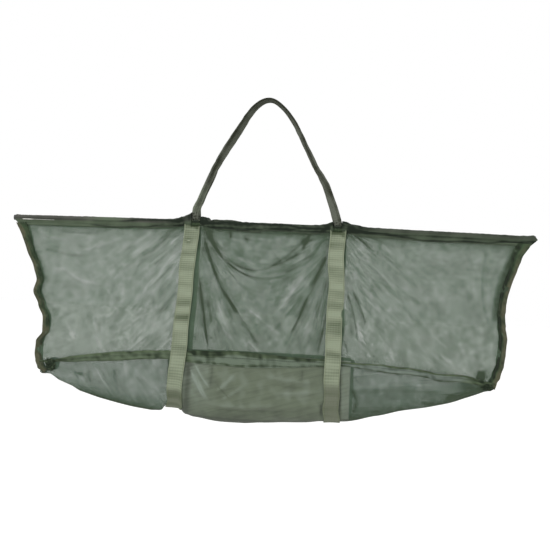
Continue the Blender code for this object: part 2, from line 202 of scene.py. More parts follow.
# How finely each cloth is divided: along X or around, and down
PANEL_STEPS = (380, 120)
HEM_STEP, HEM_ROUND_STEPS = 0.003, 46
STRAP_ACROSS_STEPS, STRAP_SIDE_STEPS, STRAP_BASE_STEPS = 14, 90, 60
BINDING_LEAF_STEPS, BINDING_TURN_STEPS, BINDING_INNER_STEPS, BINDING_DOWN_STEPS = 8, 7, 6, 140
GUSSET_STEPS = (24, 80)
NYLON_COLUMNS, BASE_END_COLUMNS, BASE_ROWS = 130, 90, 64
BAND_STEPS = (320, 22)
BUNCH_STEPS = 22
INNER_TAPE_STEPS = (4, 40)
HANDLE_STEPS = (26, 240)
EYE_STEPS = (10, 40)

# How far out the stitches lie from their panel, or from a strap's middle
HEM_STITCH_OUT = HEM_OUT + SLEEVE_CLOTH / 2 + 0.0003
BINDING_STITCH_OUT = BINDING_OUT + 0.0026
BAND_STITCH_OUT = BAND_OUT + 0.0018
STRAP_STITCH_OUT = 0.0009
TACK_OUT = 0.001

# Below this slanting line, given by a place on it and its slope, the right end's net is double
DOUBLE_LINE = (0.21, -0.655)
DOUBLE_SLOPE = 0.066

# The fine creases of gathered cloth, drawn as painted shade and painted highlights: from one to the
# next, and how long they run
CREASE_PITCH = 0.0065
CREASE_LENGTH = 0.09

# Places of single marks: along X, or along X and Z
HEM_SHADOW_SPOTS = (-0.149, 0.178)
HEM_PALE_PATCH = -0.37
PANEL_CAUGHT = (0.499, -0.607)
NYLON_DARK_LINE = -0.160
BAND_KNOT = -0.237
LEFT_SELVEDGE = (-0.579, -0.500)

# Folds of a side panel: start and end (x, z), sag, half width, how far out, how gathered, which also
# paints shade, or below 0 a highlight
PANEL_FOLDS = (
    # left of the left strap
    ((-205, -303), (-345, -415), 9, 6, 4, 0.12),
    ((-212, -303), (-300, -398), 8, 4, 3, 0.10),
    ((-222, -304), (-262, -352), 3, 4, -2, 0.10),
    ((-490, -395), (-370, -440), 18, 7, 5, -0.12),
    ((-545, -352), (-420, -378), 12, 5, -3, 0.10),
    ((-450, -374), (-340, -332), 3, 6, 4, -0.09),
    ((-545, -325), (-460, -345), 4, 5, 3, -0.08),
    ((-500, -333), (-395, -330), 12, 5, 3, -0.07),
    ((-500, -322), (-380, -320), 6, 6, -3, 0.10),
    ((-203, -345), (-262, -398), 4, 4, 3, 0.12),
    ((-203, -372), (-268, -450), 6, 4, 3, 0.14),
    ((-203, -402), (-245, -455), 3, 4, 3, 0.12),
    ((-204, -452), (-250, -515), 3, 4, 3, 0.14),
    ((-204, -468), (-236, -505), 2, 3, -2, 0.10),
    ((-256, -390), (-268, -414), 0, 8, 4, -0.12),
    ((-283, -462), (-290, -478), 0, 7, 3, -0.10),
    ((-264, -482), (-272, -496), 0, 8, 3, -0.10),
    ((-249, -500), (-258, -560), 0, 6, 4, -0.11),
    ((-262, -548), (-292, -576), 0, 8, 4, -0.08),
    ((-398, -512), (-387, -560), 0, 8, 4, -0.10),
    ((-388, -560), (-371, -602), 0, 6, 4, -0.10),
    ((-465, -545), (-440, -582), 0, 8, 3, -0.09),
    ((-492, -570), (-452, -580), 0, 6, 3, -0.08),
    # between the straps
    ((-150, -286), (-96, -372), 1, 5, 6, 0.40),
    ((-104, -358), (0, -393), 14, 4, -4, 0.16),
    ((0, -393), (97, -312), 9, 5, -4, 0.12),
    ((-101, -366), (0, -414), 12, 4, -4, 0.18),
    ((0, -414), (108, -352), 12, 5, -3, 0.08),
    ((-98, -361), (0, -404), 14, 4, 3, -0.06),
    ((-146, -316), (-96, -440), 7, 7, -6, 0.24),
    ((-96, -438), (-50, -500), 2, 7, -6, 0.26),
    ((-50, -500), (0, -572), 0, 5, -3, 0.12),
    ((-151, -400), (-116, -604), 4, 6, -5, 0.22),
    ((-128, -455), (-116, -520), 0, 9, -3, 0.12),
    ((-139, -345), (-100, -458), 3, 6, 4, -0.10),
    ((-106, -455), (-66, -562), 2, 6, 4, -0.10),
    ((-32, -545), (2, -588), 0, 3, 3, -0.14),
    ((0, -509), (52, -537), 1, 4, 3, -0.14),
    ((-46, -470), (6, -506), 4, 4, 3, -0.12),
    ((-95, -508), (-70, -556), 2, 3, 3, -0.12),
    ((-81, -308), (-81, -327), 0, 3, -2, 0.30),
    ((-52, -312), (-38, -332), 1, 4, 2, 0.08),
    ((2, -309), (-16, -330), 0, 5, 3, -0.08),
    ((14, -312), (62, -336), 3, 4, 3, -0.08),
    ((-65, -340), (-48, -378), 4, 8, 4, -0.12),
    ((20, -342), (52, -376), 2, 6, 3, -0.10),
    ((103, -304), (84, -347), 0, 6, -5, 0.26),
    ((85, -345), (30, -378), 4, 5, -4, 0.14),
    ((146, -342), (110, -432), 2, 6, -5, 0.26),
    ((110, -430), (65, -545), 4, 6, -4, 0.18),
    ((150, -470), (128, -592), 3, 6, -4, 0.18),
    ((150, -398), (120, -505), 2, 5, -3, 0.12),
    ((132, -328), (96, -390), 1, 4, 3, -0.08),
    ((116, -312), (104, -352), 0, 4, 3, -0.08),
    ((95, -386), (30, -492), 8, 6, 4, -0.11),
    ((78, -412), (60, -452), 0, 8, 3, -0.08),
    ((122, -474), (92, -548), 3, 6, 4, -0.10),
    ((112, -555), (104, -585), 0, 7, 3, -0.09),
    # right of the right strap
    ((198, -302), (246, -339), 0, 4, -4, 0.26),
    ((245, -338), (306, -373), 1, 4, -3, 0.12),
    ((208, -318), (238, -347), 0, 6, 4, -0.14),
    ((190, -388), (197, -470), 0, 4, -3, 0.16),
    ((200, -420), (244, -523), -4, 4, -3, 0.22),
    ((192, -440), (229, -593), -26, 4, -3, 0.20),
    ((188, -540), (204, -592), -6, 4, -3, 0.16),
    ((213, -486), (233, -546), 0, 6, 4, -0.16),
    ((229, -530), (251, -586), 0, 6, 4, -0.12),
    ((200, -378), (258, -456), 0, 8, 4, -0.10),
    ((256, -455), (286, -500), 0, 8, 3, -0.10),
    ((285, -548), (306, -592), 0, 6, 3, -0.08),
    ((300, -384), (330, -426), 0, 10, 4, -0.10),
    ((338, -448), (343, -478), 0, 9, 3, -0.09),
    ((396, -556), (442, -592), 0, 5, 3, -0.09),
    ((438, -524), (462, -562), 0, 8, 3, -0.09),
    ((476, -556), (520, -534), 0, 6, 3, -0.08),
    ((517, -520), (522, -592), 0, 5, 2, -0.14),
    ((508, -500), (503, -560), 0, 12, 2, 0.07),
)

# Folds of the base, below the seams: light streaks beside the straps, painted highlights, and soft
# creases with painted shade
BASE_FOLDS = (
    ((-462, -632), (-440, -664), 0, 7, 3, -0.10),
    ((-430, -640), (-424, -676), 0, 7, 3, -0.06),
    ((-394, -628), (-366, -674), 0, 6, 4, -0.14),
    ((-318, -620), (-309, -662), 0, 9, 4, -0.16),
    ((-292, -642), (-262, -660), 0, 11, 4, -0.12),
    ((-248, -684), (-228, -662), 0, 6, 3, -0.10),
    ((-411, -640), (-396, -694), 0, 8, -3, 0.10),
    ((-345, -630), (-338, -690), 0, 9, -3, 0.08),
    ((-161, -622), (-124, -690), 5, 5, 5, -0.16),
    ((-150, -612), (-112, -668), 4, 4, 4, -0.14),
    ((-140, -650), (-118, -692), 2, 4, 4, -0.14),
    ((-108, -612), (-112, -668), 0, 5, -4, 0.14),
    ((-52, -630), (-100, -676), 3, 7, 4, -0.12),
    ((-30, -655), (-88, -694), 2, 6, 4, -0.08),
    ((-100, -652), (-60, -690), 6, 5, -3, 0.08),
    ((-120, -704), (60, -696), 5, 8, 4, -0.05),
    ((-150, -716), (110, -712), 3, 7, -3, 0.06),
    ((10, -632), (136, -640), 4, 8, 4, -0.05),
    ((40, -672), (140, -660), 3, 8, 4, -0.05),
    ((20, -650), (120, -658), 4, 7, -3, 0.06),
    ((100, -614), (98, -640), 0, 5, -4, 0.12),
    ((145, -690), (146, -724), 0, 4, -3, 0.22),
    ((186, -612), (186, -724), 0, 3, -3, 0.20),
    ((213, -652), (225, -682), 0, 4, -3, 0.24),
    ((225, -680), (217, -712), 0, 4, -3, 0.22),
    ((210, -612), (238, -640), 8, 4, -3, 0.12),
    ((250, -628), (272, -640), 0, 9, 3, -0.10),
    ((330, -628), (392, -640), 0, 6, 3, -0.06),
    ((426, -666), (446, -660), 0, 7, 3, 0.60),
    ((440, -662), (505, -645), 0, 5, 3, 0.25),
)

# How far each end of the side panels reaches past its curve, by share of the drop. The
# binding goes on past the seam, to the bottom corner
END_WAVE_PLACES = (
    (0.0, 0.05, 0.12, 0.22, 0.34, 0.42, 0.51, 0.6)
    + (0.7, 0.80, 0.86, 0.95, 1.0, 1.05, 1.09)
)
END_WAVES = {
    LEFT: (12, 11, 9.5, 8.5, 1, -1, 10.5, 1, -9.5, -8, 8, 10.5, 8, 3, -10),
    RIGHT: (7, 8.5, 4.5, 4.5, 2.5, 3, 5, 10.5, 17.5, 17, 15.5, 8, 1, -2.5, -14),
}
BINDING_END = {LEFT: 1.10, RIGHT: 1.04}

# How far the keel hangs above its smooth line: the straps hold it up
KEEL_LIFT_PLACES = (
    (-531, -503, -480, -455, -428, -376, -303, -259, -236, -231, -222, -191, -172, -153)
    + (-91, -37, 9, 60, 110, 140, 209, 270, 328, 390, 439, 470, 505, 531)
)
KEEL_LIFTS = (
    (-1, 10, 5, 4, -1.5, -3.3, -4, -3, 0, 2, 13.5, 15, 1.5, -2)
    + (-6.7, -6, -2.5, -0.5, -0.8, 1, -2.7, 3.5, 8, 5.7, 4.7, 6, 6, 0)
)

# How far the hem stands up beside the handles' feet: places along it and heights
HEM_HUMPS = {
    "left": ((-586, -240, -219, -207, -196, -182, -173), (0, 0, 1, 3, 6.5, 11.5, 16.5)),
    "middle": (
        (-153, -146, -139, -135, -128, -120, -108, -82, -66, -55, 100, 120, 134, 147, 153),
        (8, 8, 7, 1.5, 1, 3, 2.5, 3, 1, -0.8, -0.8, 0, 2, 6, 9),
    ),
    "right": (
        (173, 182, 196, 210, 222, 235, 330, 560, 586),
        (11, 9, 5, 3, 1, -0.5, -1.2, -1.2, 0),
    ),
}

# Two dark lines of painted shade where the hem's cloth rolls, wandering along the hems: how far
# below the pole they are, and how much further down than usual the hem's lower edge hangs
HEM_PLACES = (
    (-586, -468, -354, -285, -239, -193, -113, -90, -55, -21, 4, 48, 82, 128)
    + (208, 265, 311, 357, 403, 449, 495, 541, 586)
)
HEM_ROLLS = (
    (1.5, 2, 2.5, -2, -3.4, -2.7, -1.1, -3.6, -1.1, -2.5, -1.4, -3.2, 2.3, 2.5)
    + (5.2, 7.5, 8, 7.7, 7.5, 7.3, 8.2, 9.1, 8),
    (8, 8, 16, 13.9, 8, 7, 10, 10, 12, 9.5, 7.8, 5.9, 9, 9.3)
    + (6.5, 8.5, 12, 16.9, 16.6, 14, 15, 9.5, 8),
)
HEM_EDGES = (
    (0, 0, 1, 0, -2.5, -3.5, -2.5, -3, 0, 1.5, -4, -4.5, -1.5, 0)
    + (1, 0, 0.5, 3, 2.5, 1.5, 2, 1, 0)
)

# The seam band's upper edge above the seam, and its lower edge below it
BAND_PLACES = (
    (-531, -500, -420, -334, -237, -123, -29, 24, 69)
    + (130, 188, 294, 376, 398, 460, 514, 531)
)
BAND_TOPS = (0, -4, -1, 2, 4, 6, 7, 4, 1, 0, -3, -2, -1, -5, 3, 0, 0)
BAND_DROPS = (7, 11, 17, 20, 16, 25, 29, 26, 24, 18, 13, 19, 17, 21, 15, 11, 6)


def blend(first, last, share):
    """From the first value to the last, by share."""
    return first + (last - first) * share


def spread(first, last, steps):
    """Even steps from the first value to the last, with both of them."""
    return np.linspace(first, last, steps + 1)


def eased(share):
    """0 to 1 with a soft start and a soft end."""
    share = np.clip(share, 0.0, 1.0)
    return share * share * (3 - 2 * share)


def through(places, values, place):
    """The values at a place, eased between the listed places around it."""
    places, values = np.asarray(places, float), np.asarray(values, float)
    i = np.clip(np.searchsorted(places, place) - 1, 0, len(places) - 2)
    share = (place - places[i]) / (places[i + 1] - places[i])
    return blend(values[i], values[i + 1], eased(share))


def listed(places, values, place):
    """A value in metres from a list in millimetres of places and values."""
    return through(places, values, place * 1e3) / 1e3


def bump(distance, width):
    """1 at no distance, fading to 0 a few widths away."""
    return np.exp(-((distance / width) ** 2))


def creasing(across, along, strength):
    """Marks for fine creases: places across and along them, in metres, and how strong they are."""
    return {"crease_across": across, "crease_along": along, "creased": strength}


def ripples(x, z, length, seed):
    """Soft random bumps about one length across, mostly from -1 to 1: waves from all sides.

    The seed picks the waves, so that no two pieces are rumpled alike.
    """
    dice = np.random.default_rng(seed)
    total = 0.0
    for _ in range(RIPPLE_WAVES):
        heading, phase = dice.uniform(0, math.tau, 2)
        wave = math.tau / (length * dice.uniform(0.8, 1.8))
        total = total + np.sin((x * math.cos(heading) + z * math.sin(heading)) * wave + phase)
    return total / 3.5


def near_fold(x, z, start, stop, sag):
    """How far places are from a sagging fold, in its millimetres, and how far along it they are."""
    share = spread(0, 1, FOLD_STEPS)
    line_x = blend(start[0], stop[0], share)
    line_z = blend(start[1], stop[1], share) - 4 * sag * share * (1 - share)
    best, along = np.full(x.shape, np.inf), np.zeros(x.shape)
    for i in range(FOLD_STEPS):
        dx, dz = line_x[i + 1] - line_x[i], line_z[i + 1] - line_z[i]
        t = np.clip(((x - line_x[i]) * dx + (z - line_z[i]) * dz) / (dx * dx + dz * dz), 0, 1)
        distance = np.hypot(x - line_x[i] - t * dx, z - line_z[i] - t * dz)
        closer = distance < best
        best[closer] = distance[closer]
        along[closer] = (i + t[closer]) / FOLD_STEPS
    return best, along


def folds(x, z, lines, strength):
    """How far a list of folds pushes the cloth out at (x, z), and how much it gathers it; the
    gathering also paints shade along a fold, or a highlight where it is below 0.
    """
    out, gather_and_shade = np.zeros_like(x), np.zeros_like(x)
    x, z = x * 1e3, z * 1e3
    for start, stop, sag, width, depth, thick in lines:
        margin = 3 * width + abs(sag)
        left, right = min(start[0], stop[0]) - margin, max(start[0], stop[0]) + margin
        low, high = min(start[1], stop[1]) - margin, max(start[1], stop[1]) + margin
        near = (x > left) & (x < right) & (z > low) & (z < high)
        if not near.any():
            continue
        distance, along = near_fold(x[near], z[near], start, stop, sag)
        fade = 0.25 + 0.75 * eased(np.minimum(along, 1 - along) * 3.5)
        out[near] += strength * depth / 1e3 * fade * bump(distance, 0.8 * width)
        line = 1.3 * bump(distance, 0.42 * width) + 0.45 * bump(distance, 1.5 * width)
        gather_and_shade[near] += strength * thick * fade * line
    return out, gather_and_shade


# The surfaces of the CAD part


def pole_z(x):
    """The height of a bowed pole's middle line."""
    return -POLE_DROP - POLE_BOW * (x / POLE_HALF_LENGTH) ** 2


def lens(x):
    """1 in the middle of the sling and 0 at its bottom corners."""
    return 1 - (x / CORNER_X) ** 2


def seam_z(x):
    """The height of the seam between a side and the base."""
    lift = SEAM_LIFT * (1 - np.abs(x / CORNER_X) ** SEAM_FLATNESS)
    return SEAM_CORNER_Z + lift + SEAM_TILT * x / CORNER_X


def seam_y(x):
    """How far out from the middle plane a seam is."""
    return blend(CORNER_Y, SEAM_HALF_WIDTH, lens(x))


def keel_depth(x):
    """How far the keel hangs below the seams."""
    belly = BELLY_DEPTH * np.maximum(0.0, lens(x)) ** BELLY_FULLNESS
    end_depth = KEEL_END_DEPTH - KEEL_TILT * x / CORNER_X
    return seam_z(x) - SEAM_CORNER_Z + end_depth + belly


def end_x(share):
    """How far from the middle the curved end of a side is."""
    return blend(CORNER_X, POLE_HALF_LENGTH - CAP_LENGTH, np.clip(1 - share, 0, 1) ** END_CURVE)


def side_share(x, drop):
    """The share of the way from the pole to the seam that a drop below the pole is."""
    return drop / (pole_z(x) - seam_z(x))


def on_side(side, x, share, out):
    """Points on a side panel, pushed out from it."""
    y = blend(POLE_Y, seam_y(x), share) + out
    return np.column_stack([x, side * y, blend(pole_z(x), seam_z(x), share)])


def on_trough(x, turn, out):
    """Points on the base, pushed out. turn is -90 degrees at the front seam and 0 at the keel."""
    width, depth = seam_y(x), keel_depth(x)
    across, down = np.sin(turn), np.cos(turn)
    normal = np.column_stack([np.zeros_like(x), across / width, -down / depth])
    normal /= np.linalg.norm(normal, axis=1)[:, None]
    points = np.column_stack([x, width * across, seam_z(x) - depth * down])
    return points + normal * np.broadcast_to(out, x.shape)[:, None]


def seen_x(side, x):
    """How far right a place is, seen from its own side of the sling."""
    return -side * x


def foot_gap(x):
    """How far along the pole the nearest handle's foot is."""
    return np.abs(np.abs(x) - HANDLE_FOOT_X)


def base_arc(x):
    """The base's length from a seam to the keel, near that of a quarter of an ellipse."""
    return keel_depth(x) + 0.4 * seam_y(x)


def strap_x(end, share):
    """Where the middle of a strap is along the sling: the straps lean a little."""
    if end == LEFT:
        return -(LEFT_STRAP_TOP_X + LEFT_STRAP_LEAN * share)
    return RIGHT_STRAP_TOP_X + RIGHT_STRAP_LEAN * share


# Making pieces


def new_object(name, data):
    """An object in the scene for a mesh, lamp or camera."""
    thing = bpy.data.objects.new(name, data)
    bpy.context.scene.collection.objects.link(thing)
    return thing


def mesh_of(name, shape, material):
    """A finished bmesh as a mesh with its material."""
    mesh = bpy.data.meshes.new(name)
    shape.to_mesh(mesh)
    shape.free()
    mesh.materials.append(material)
    return mesh


def run_along(line):
    """How far along a line each of its points is."""
    steps = np.linalg.norm(np.diff(line, axis=0), axis=1)
    return np.concatenate([[0], np.cumsum(steps)])


def cloth(name, columns, rows, lay, material, away, thickness=0.0):
    """Cloth laid by lay(column, row), which gives places, places on the flat cut and marks.

    The marks are attributes for the material: how gathered the cloth is, which darkens it and
    also carries painted shade, and tint, where its second colour shows. away is roughly where
    the cloth's right side faces.
    """
    across, down = len(columns) - 1, len(rows) - 1
    grid = bmesh.new()
    bmesh.ops.create_grid(grid, x_segments=across, y_segments=down, size=1.0)
    mesh = mesh_of(name, grid, material)
    flat = np.empty(3 * len(mesh.vertices))
    mesh.vertices.foreach_get("co", flat)
    flat = (flat.reshape(-1, 3) + 1) / 2
    column = np.interp(flat[:, 0] * across, np.arange(across + 1), columns)
    row = np.interp(flat[:, 1] * down, np.arange(down + 1), rows)
    points, cut, marks = lay(column, row)
    mesh.vertices.foreach_set("co", points.ravel())
    corner = np.empty(len(mesh.loops), int)
    mesh.loops.foreach_get("vertex_index", corner)
    layer = mesh.uv_layers.new(name="Cut")
    layer.data.foreach_set("uv", np.column_stack(cut)[corner].astype(np.float32).ravel())
    for mark, values in marks.items():
        values = np.broadcast_to(values, column.shape).astype(np.float32)
        mesh.attributes.new(mark, "FLOAT", "POINT").data.foreach_set("value", values)
    mesh.update()
    facing = sum((face.normal * face.area for face in mesh.polygons), Vector())
    if facing.dot(Vector(away)) < 0:
        mesh.flip_normals()
    mesh.shade_smooth()
    piece = new_object(name, mesh)
    if thickness:
        solid = piece.modifiers.new("Thickness", "SOLIDIFY")
        solid.thickness = thickness
        solid.offset = 0
    return piece


def stitches(name, lines, material, pitch=0.0042, length=0.0030, radius=0.0004):
    """Rows of stitches: short round bars of thread, each lying along its line."""
    row = bmesh.new()
    for line in lines:
        run = run_along(line)
        for start in np.arange(pitch / 2, run[-1] - length, pitch):
            ends = [
                Vector([np.interp(at, run, line[:, axis]) for axis in range(3)])
                for at in (start, start + length)
            ]
            along = ends[1] - ends[0]
            turn = along.to_track_quat("Z", "Y").to_matrix().to_4x4()
            place = Matrix.Translation((ends[0] + ends[1]) / 2) @ turn
            bmesh.ops.create_cone(
                row,
                cap_ends=True,
                segments=5,
                radius1=radius,
                radius2=radius,
                depth=along.length,
                matrix=place,
            )
    return new_object(name, mesh_of(name, row, material))


def bend(piece):
    """Cloth at a seam: its place is baked into its mesh."""
    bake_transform(piece)
    return piece


# Materials


def linear(code):
    """A linear colour from an sRGB hex code."""
    parts = [int(code[i : i + 2], 16) / 255 for i in (1, 3, 5)]
    parts = [p / 12.92 if p <= 0.04045 else ((p + 0.055) / 1.055) ** 2.4 for p in parts]
    return (*parts, 1.0)


def per_metre(millimetres):
    """A noise's scale for spots of about this size."""
    return 1e3 / millimetres


def give(node, sockets):
    """Gives a node's sockets their values, or links them from an earlier node or its output."""
    tree = node.id_data
    for name, value in sockets.items():
        if isinstance(value, bpy.types.Node):
            value = next(output for output in value.outputs if output.enabled)
        if isinstance(value, bpy.types.NodeSocket):
            tree.links.new(value, node.inputs[name])
        else:
            node.inputs[name].default_value = value


def add(owner, kind, sockets=None, **settings):
    """Adds a node to a material or to the world, with its settings, values and links."""
    node = owner.node_tree.nodes.new(f"ShaderNode{kind}")
    for name, value in settings.items():
        setattr(node, name, value)
    give(node, sockets or {})
    return node


def new_material(name, **uniform):
    """A Principled material with its uniform values on its own sockets."""
    material = bpy.data.materials.new(name)
    material.use_nodes = True
    shader = material.node_tree.nodes["Principled BSDF"]
    give(shader, {socket.replace("_", " "): value for socket, value in uniform.items()})
    return material, shader


def creases(material, seed):
    """Fine creases as painted shade and painted highlights, which on the net also open and close its
    holes, 0 on average: noise drawn out along the lines given by the cloth's marks.
    """
    places = []
    for mark, size in (("crease_across", CREASE_PITCH), ("crease_along", CREASE_LENGTH)):
        marked = add(material, "Attribute", attribute_name=mark).outputs["Fac"]
        places.append(add(material, "Math", {0: marked, 1: size}, operation="DIVIDE"))
    place = add(material, "CombineXYZ", {"X": places[0], "Y": places[1], "Z": seed})
    lines = add(material, "TexNoise", {"Vector": place, "Scale": 1.0, "Detail": 3.0})
    signed = add(material, "Math", {0: lines, 1: 0.5}, operation="SUBTRACT")
    creased = add(material, "Attribute", attribute_name="creased").outputs["Fac"]
    return add(material, "Math", {0: signed, 1: creased}, operation="MULTIPLY")


def knitted_mesh(name, thread, shade, closing, lean):
    """Knitted polyester mesh: thin dull threads round small holes, see-through from all sides.

    closing is how high the threads reach in the net's pattern: more of it closes the holes.
    lean is how many degrees the rows of holes lean. The front's and the back's rows cross, so
    that one net seen through the other shows no broad bands.
    Gathered cloth has smaller holes and darker thread, because its layers shade each other.
    """
    material, shader = new_material(name, Roughness=0.78)
    cut = add(material, "UVMap", uv_map="Cut")
    row = math.pi / (MESH_HOLE / math.sqrt(2))
    turned = {"Vector": cut, "Rotation": (0, 0, math.radians(lean)), "Scale": (row, row, 1)}
    rows = add(material, "SeparateXYZ", {"Vector": add(material, "Mapping", turned)}).outputs
    waves = [add(material, "Math", {0: rows[axis]}, operation="SINE") for axis in "XY"]
    height = add(material, "Math", {0: waves[0], 1: waves[1]}, operation="MULTIPLY")
    height = add(material, "Math", {0: height}, operation="ABSOLUTE")
    # The cloth's folds, its fine creases and uneven yarn close the holes and darken the thread; the
    # darkening in folds and creases is painted shade
    gather_and_shade = add(material, "Attribute", attribute_name="gather_and_shade").outputs["Fac"]
    gather_and_shade = add(material, "Math", {0: gather_and_shade, 1: creases(material, lean)}, operation="ADD")
    scale = per_metre(YARN_SPOT_MM)
    spots = add(material, "TexNoise", {"Vector": cut, "Scale": scale, "Detail": 4.0})
    spots = add(material, "Math", {0: spots, 1: 0.32, 2: -0.16}, operation="MULTIPLY_ADD")
    gather_and_shade = add(material, "Math", {0: gather_and_shade, 1: spots}, operation="ADD")
    # There is thread where the pattern is lower than its limit, with a soft edge
    limit = add(material, "Math", {0: gather_and_shade, 1: closing}, operation="ADD")
    low = add(material, "Math", {0: limit, 1: THREAD_EDGE}, operation="SUBTRACT")
    high = add(material, "Math", {0: limit, 1: THREAD_EDGE}, operation="ADD")
    ends = {"From Min": low, "From Max": high, "To Min": 1.0, "To Max": 0.0}
    cover = add(material, "MapRange", {"Value": height} | ends, interpolation_type="SMOOTHSTEP")
    # The tone drifts over the cloth in large patches
    scale = per_metre(NET_PATCH_MM)
    patches = add(material, "TexNoise", {"Vector": cut, "Scale": scale, "Detail": 3.0})
    tone = add(material, "Math", {0: patches, 1: 0.6, 2: -0.3}, operation="MULTIPLY_ADD")
    dark = add(material, "Math", {0: gather_and_shade, 1: 2.2, 2: tone}, operation="MULTIPLY_ADD")
    colours = {FIRST_COLOUR: linear(thread), SECOND_COLOUR: linear(shade)}
    mixed = add(material, "Mix", {"Factor": dark} | colours, data_type="RGBA")
    give(shader, {"Base Color": mixed, "Alpha": cover})
    return material


def woven_cloth(name, colour, shade, tint, thread_mm, **uniform):
    """Plain-woven cloth: crossing threads as fine ridges, with painted shade where it is gathered.

    thread_mm is from one thread to the next, several times coarser than real, so that it shows.
    """
    material, shader = new_material(name, **uniform)
    cut = add(material, "UVMap", uv_map="Cut")
    thread = math.pi / (thread_mm / 1e3)
    scaled = add(material, "Mapping", {"Vector": cut, "Scale": (thread, thread, 1)})
    threads = add(material, "SeparateXYZ", {"Vector": scaled}).outputs
    waves = [add(material, "Math", {0: threads[axis]}, operation="SINE") for axis in "XY"]
    ridges = [add(material, "Math", {0: wave}, operation="ABSOLUTE") for wave in waves]
    height = add(material, "Math", {0: ridges[0], 1: ridges[1]}, operation="MULTIPLY")
    # Patches darken the cloth, folds and creases darken it with painted shade, and its ridges are a
    # little lighter, a painted highlight
    scale = per_metre(CLOTH_PATCH_MM)
    patches = add(material, "TexNoise", {"Vector": cut, "Scale": scale, "Detail": 4.0})
    dark = add(material, "Math", {0: patches, 1: 0.8, 2: -0.25}, operation="MULTIPLY_ADD")
    gather_and_shade = add(material, "Attribute", attribute_name="gather_and_shade").outputs["Fac"]
    dark = add(material, "Math", {0: dark, 1: gather_and_shade}, operation="ADD")
    dark = add(material, "Math", {0: dark, 1: creases(material, thread_mm)}, operation="ADD")
    dark = add(material, "Math", {0: height, 1: -0.15, 2: dark}, operation="MULTIPLY_ADD")
    tinted = add(material, "Attribute", attribute_name="tint").outputs["Fac"]
    colours = {FIRST_COLOUR: linear(colour), SECOND_COLOUR: linear(tint)}
    plain = add(material, "Mix", {"Factor": tinted} | colours, data_type="RGBA")
    colours = {FIRST_COLOUR: plain, SECOND_COLOUR: linear(shade)}
    mixed = add(material, "Mix", {"Factor": dark} | colours, data_type="RGBA")
    bumps = add(material, "Bump", {"Height": height, "Strength": 0.35, "Distance": 0.0003})
    give(shader, {"Base Color": mixed, "Normal": bumps})
    return material


def ribbed_webbing(name, colour, shade, edge, tint, rib_mm, width, **uniform):
    """Woven webbing: ribs across it, cords along it and a tight selvedge down both edges.

    rib_mm is from one rib to the next, two to three times coarser than real, so that it shows.
    """
    material, shader = new_material(name, **uniform)
    cut = add(material, "UVMap", uv_map="Cut")
    along, across, _ = add(material, "SeparateXYZ", {"Vector": cut}).outputs
    # Ribs and cords, less clear where the webbing takes its duller tint
    rib = add(material, "Math", {0: along, 1: math.tau / (rib_mm / 1e3)}, operation="MULTIPLY")
    cord = add(material, "Math", {0: across, 1: math.tau / (width / 6)}, operation="MULTIPLY")
    rib, cord = [add(material, "Math", {0: wave}, operation="SINE") for wave in (rib, cord)]
    rib = add(material, "Math", {0: rib, 1: 0.7}, operation="MULTIPLY")
    height = add(material, "Math", {0: cord, 1: 0.25, 2: rib}, operation="MULTIPLY_ADD")
    dull = add(material, "Attribute", attribute_name="tint").outputs["Fac"]
    clear = add(material, "Math", {0: dull, 1: -0.8, 2: 1.0}, operation="MULTIPLY_ADD")
    # Uneven bands across the webbing, with painted shade between its ribs
    scale = (per_metre(WEBBING_BAND_LENGTH_MM), per_metre(WEBBING_BAND_WIDTH_MM), 1.0)
    scaled = add(material, "Mapping", {"Vector": cut, "Scale": scale})
    bands = add(material, "TexNoise", {"Vector": scaled, "Scale": 1.0, "Detail": 3.0})
    dark = add(material, "Math", {0: bands, 1: 1.7, 2: -0.60}, operation="MULTIPLY_ADD")
    ribs = add(material, "Math", {0: height, 1: clear}, operation="MULTIPLY")
    dark = add(material, "Math", {0: ribs, 1: -0.22, 2: dark}, operation="MULTIPLY_ADD")
    gather_and_shade = add(material, "Attribute", attribute_name="gather_and_shade").outputs["Fac"]
    dark = add(material, "Math", {0: dark, 1: gather_and_shade}, operation="ADD")
    colours = {FIRST_COLOUR: linear(colour), SECOND_COLOUR: linear(tint)}
    plain = add(material, "Mix", {"Factor": dull} | colours, data_type="RGBA")
    colours = {FIRST_COLOUR: plain, SECOND_COLOUR: linear(shade)}
    body = add(material, "Mix", {"Factor": dark} | colours, data_type="RGBA")
    # The tight edges
    from_middle = add(material, "Math", {0: across}, operation="ABSOLUTE")
    ends = {"From Min": width * 0.40, "From Max": width * 0.46, "To Min": 0.0, "To Max": 0.5}
    selvedge = add(material, "MapRange", {"Value": from_middle} | ends)
    selvedge = add(material, "Math", {0: selvedge, 1: clear}, operation="MULTIPLY")
    colours = {FIRST_COLOUR: body, SECOND_COLOUR: linear(edge)}
    mixed = add(material, "Mix", {"Factor": selvedge} | colours, data_type="RGBA")
    bumps = add(material, "Bump", {"Height": height, "Strength": 0.5, "Distance": 0.0005})
    give(shader, {"Base Color": mixed, "Normal": bumps})
    return material


def mottled(material, shader, place, spot_mm, detail, first, second):
    """Lets the colour drift between two tones, in spots of this size."""
    noise = {"Vector": place, "Scale": per_metre(spot_mm), "Detail": detail}
    colours = {FIRST_COLOUR: linear(first), SECOND_COLOUR: linear(second)}
    tone = {"Factor": add(material, "TexNoise", noise)} | colours
    give(shader, {"Base Color": add(material, "Mix", tone, data_type="RGBA")})


def bleached_selvedge():
    """The hem cloth's undyed selvedge: flat off-white polyester."""
    material, shader = new_material("undyed polyester selvedge", Roughness=0.7)
    cut = add(material, "UVMap", uv_map="Cut")
    mottled(material, shader, cut, SELVEDGE_SPOT_MM, 2.0, "#cfd1c8", "#e6e6e0")
    return material


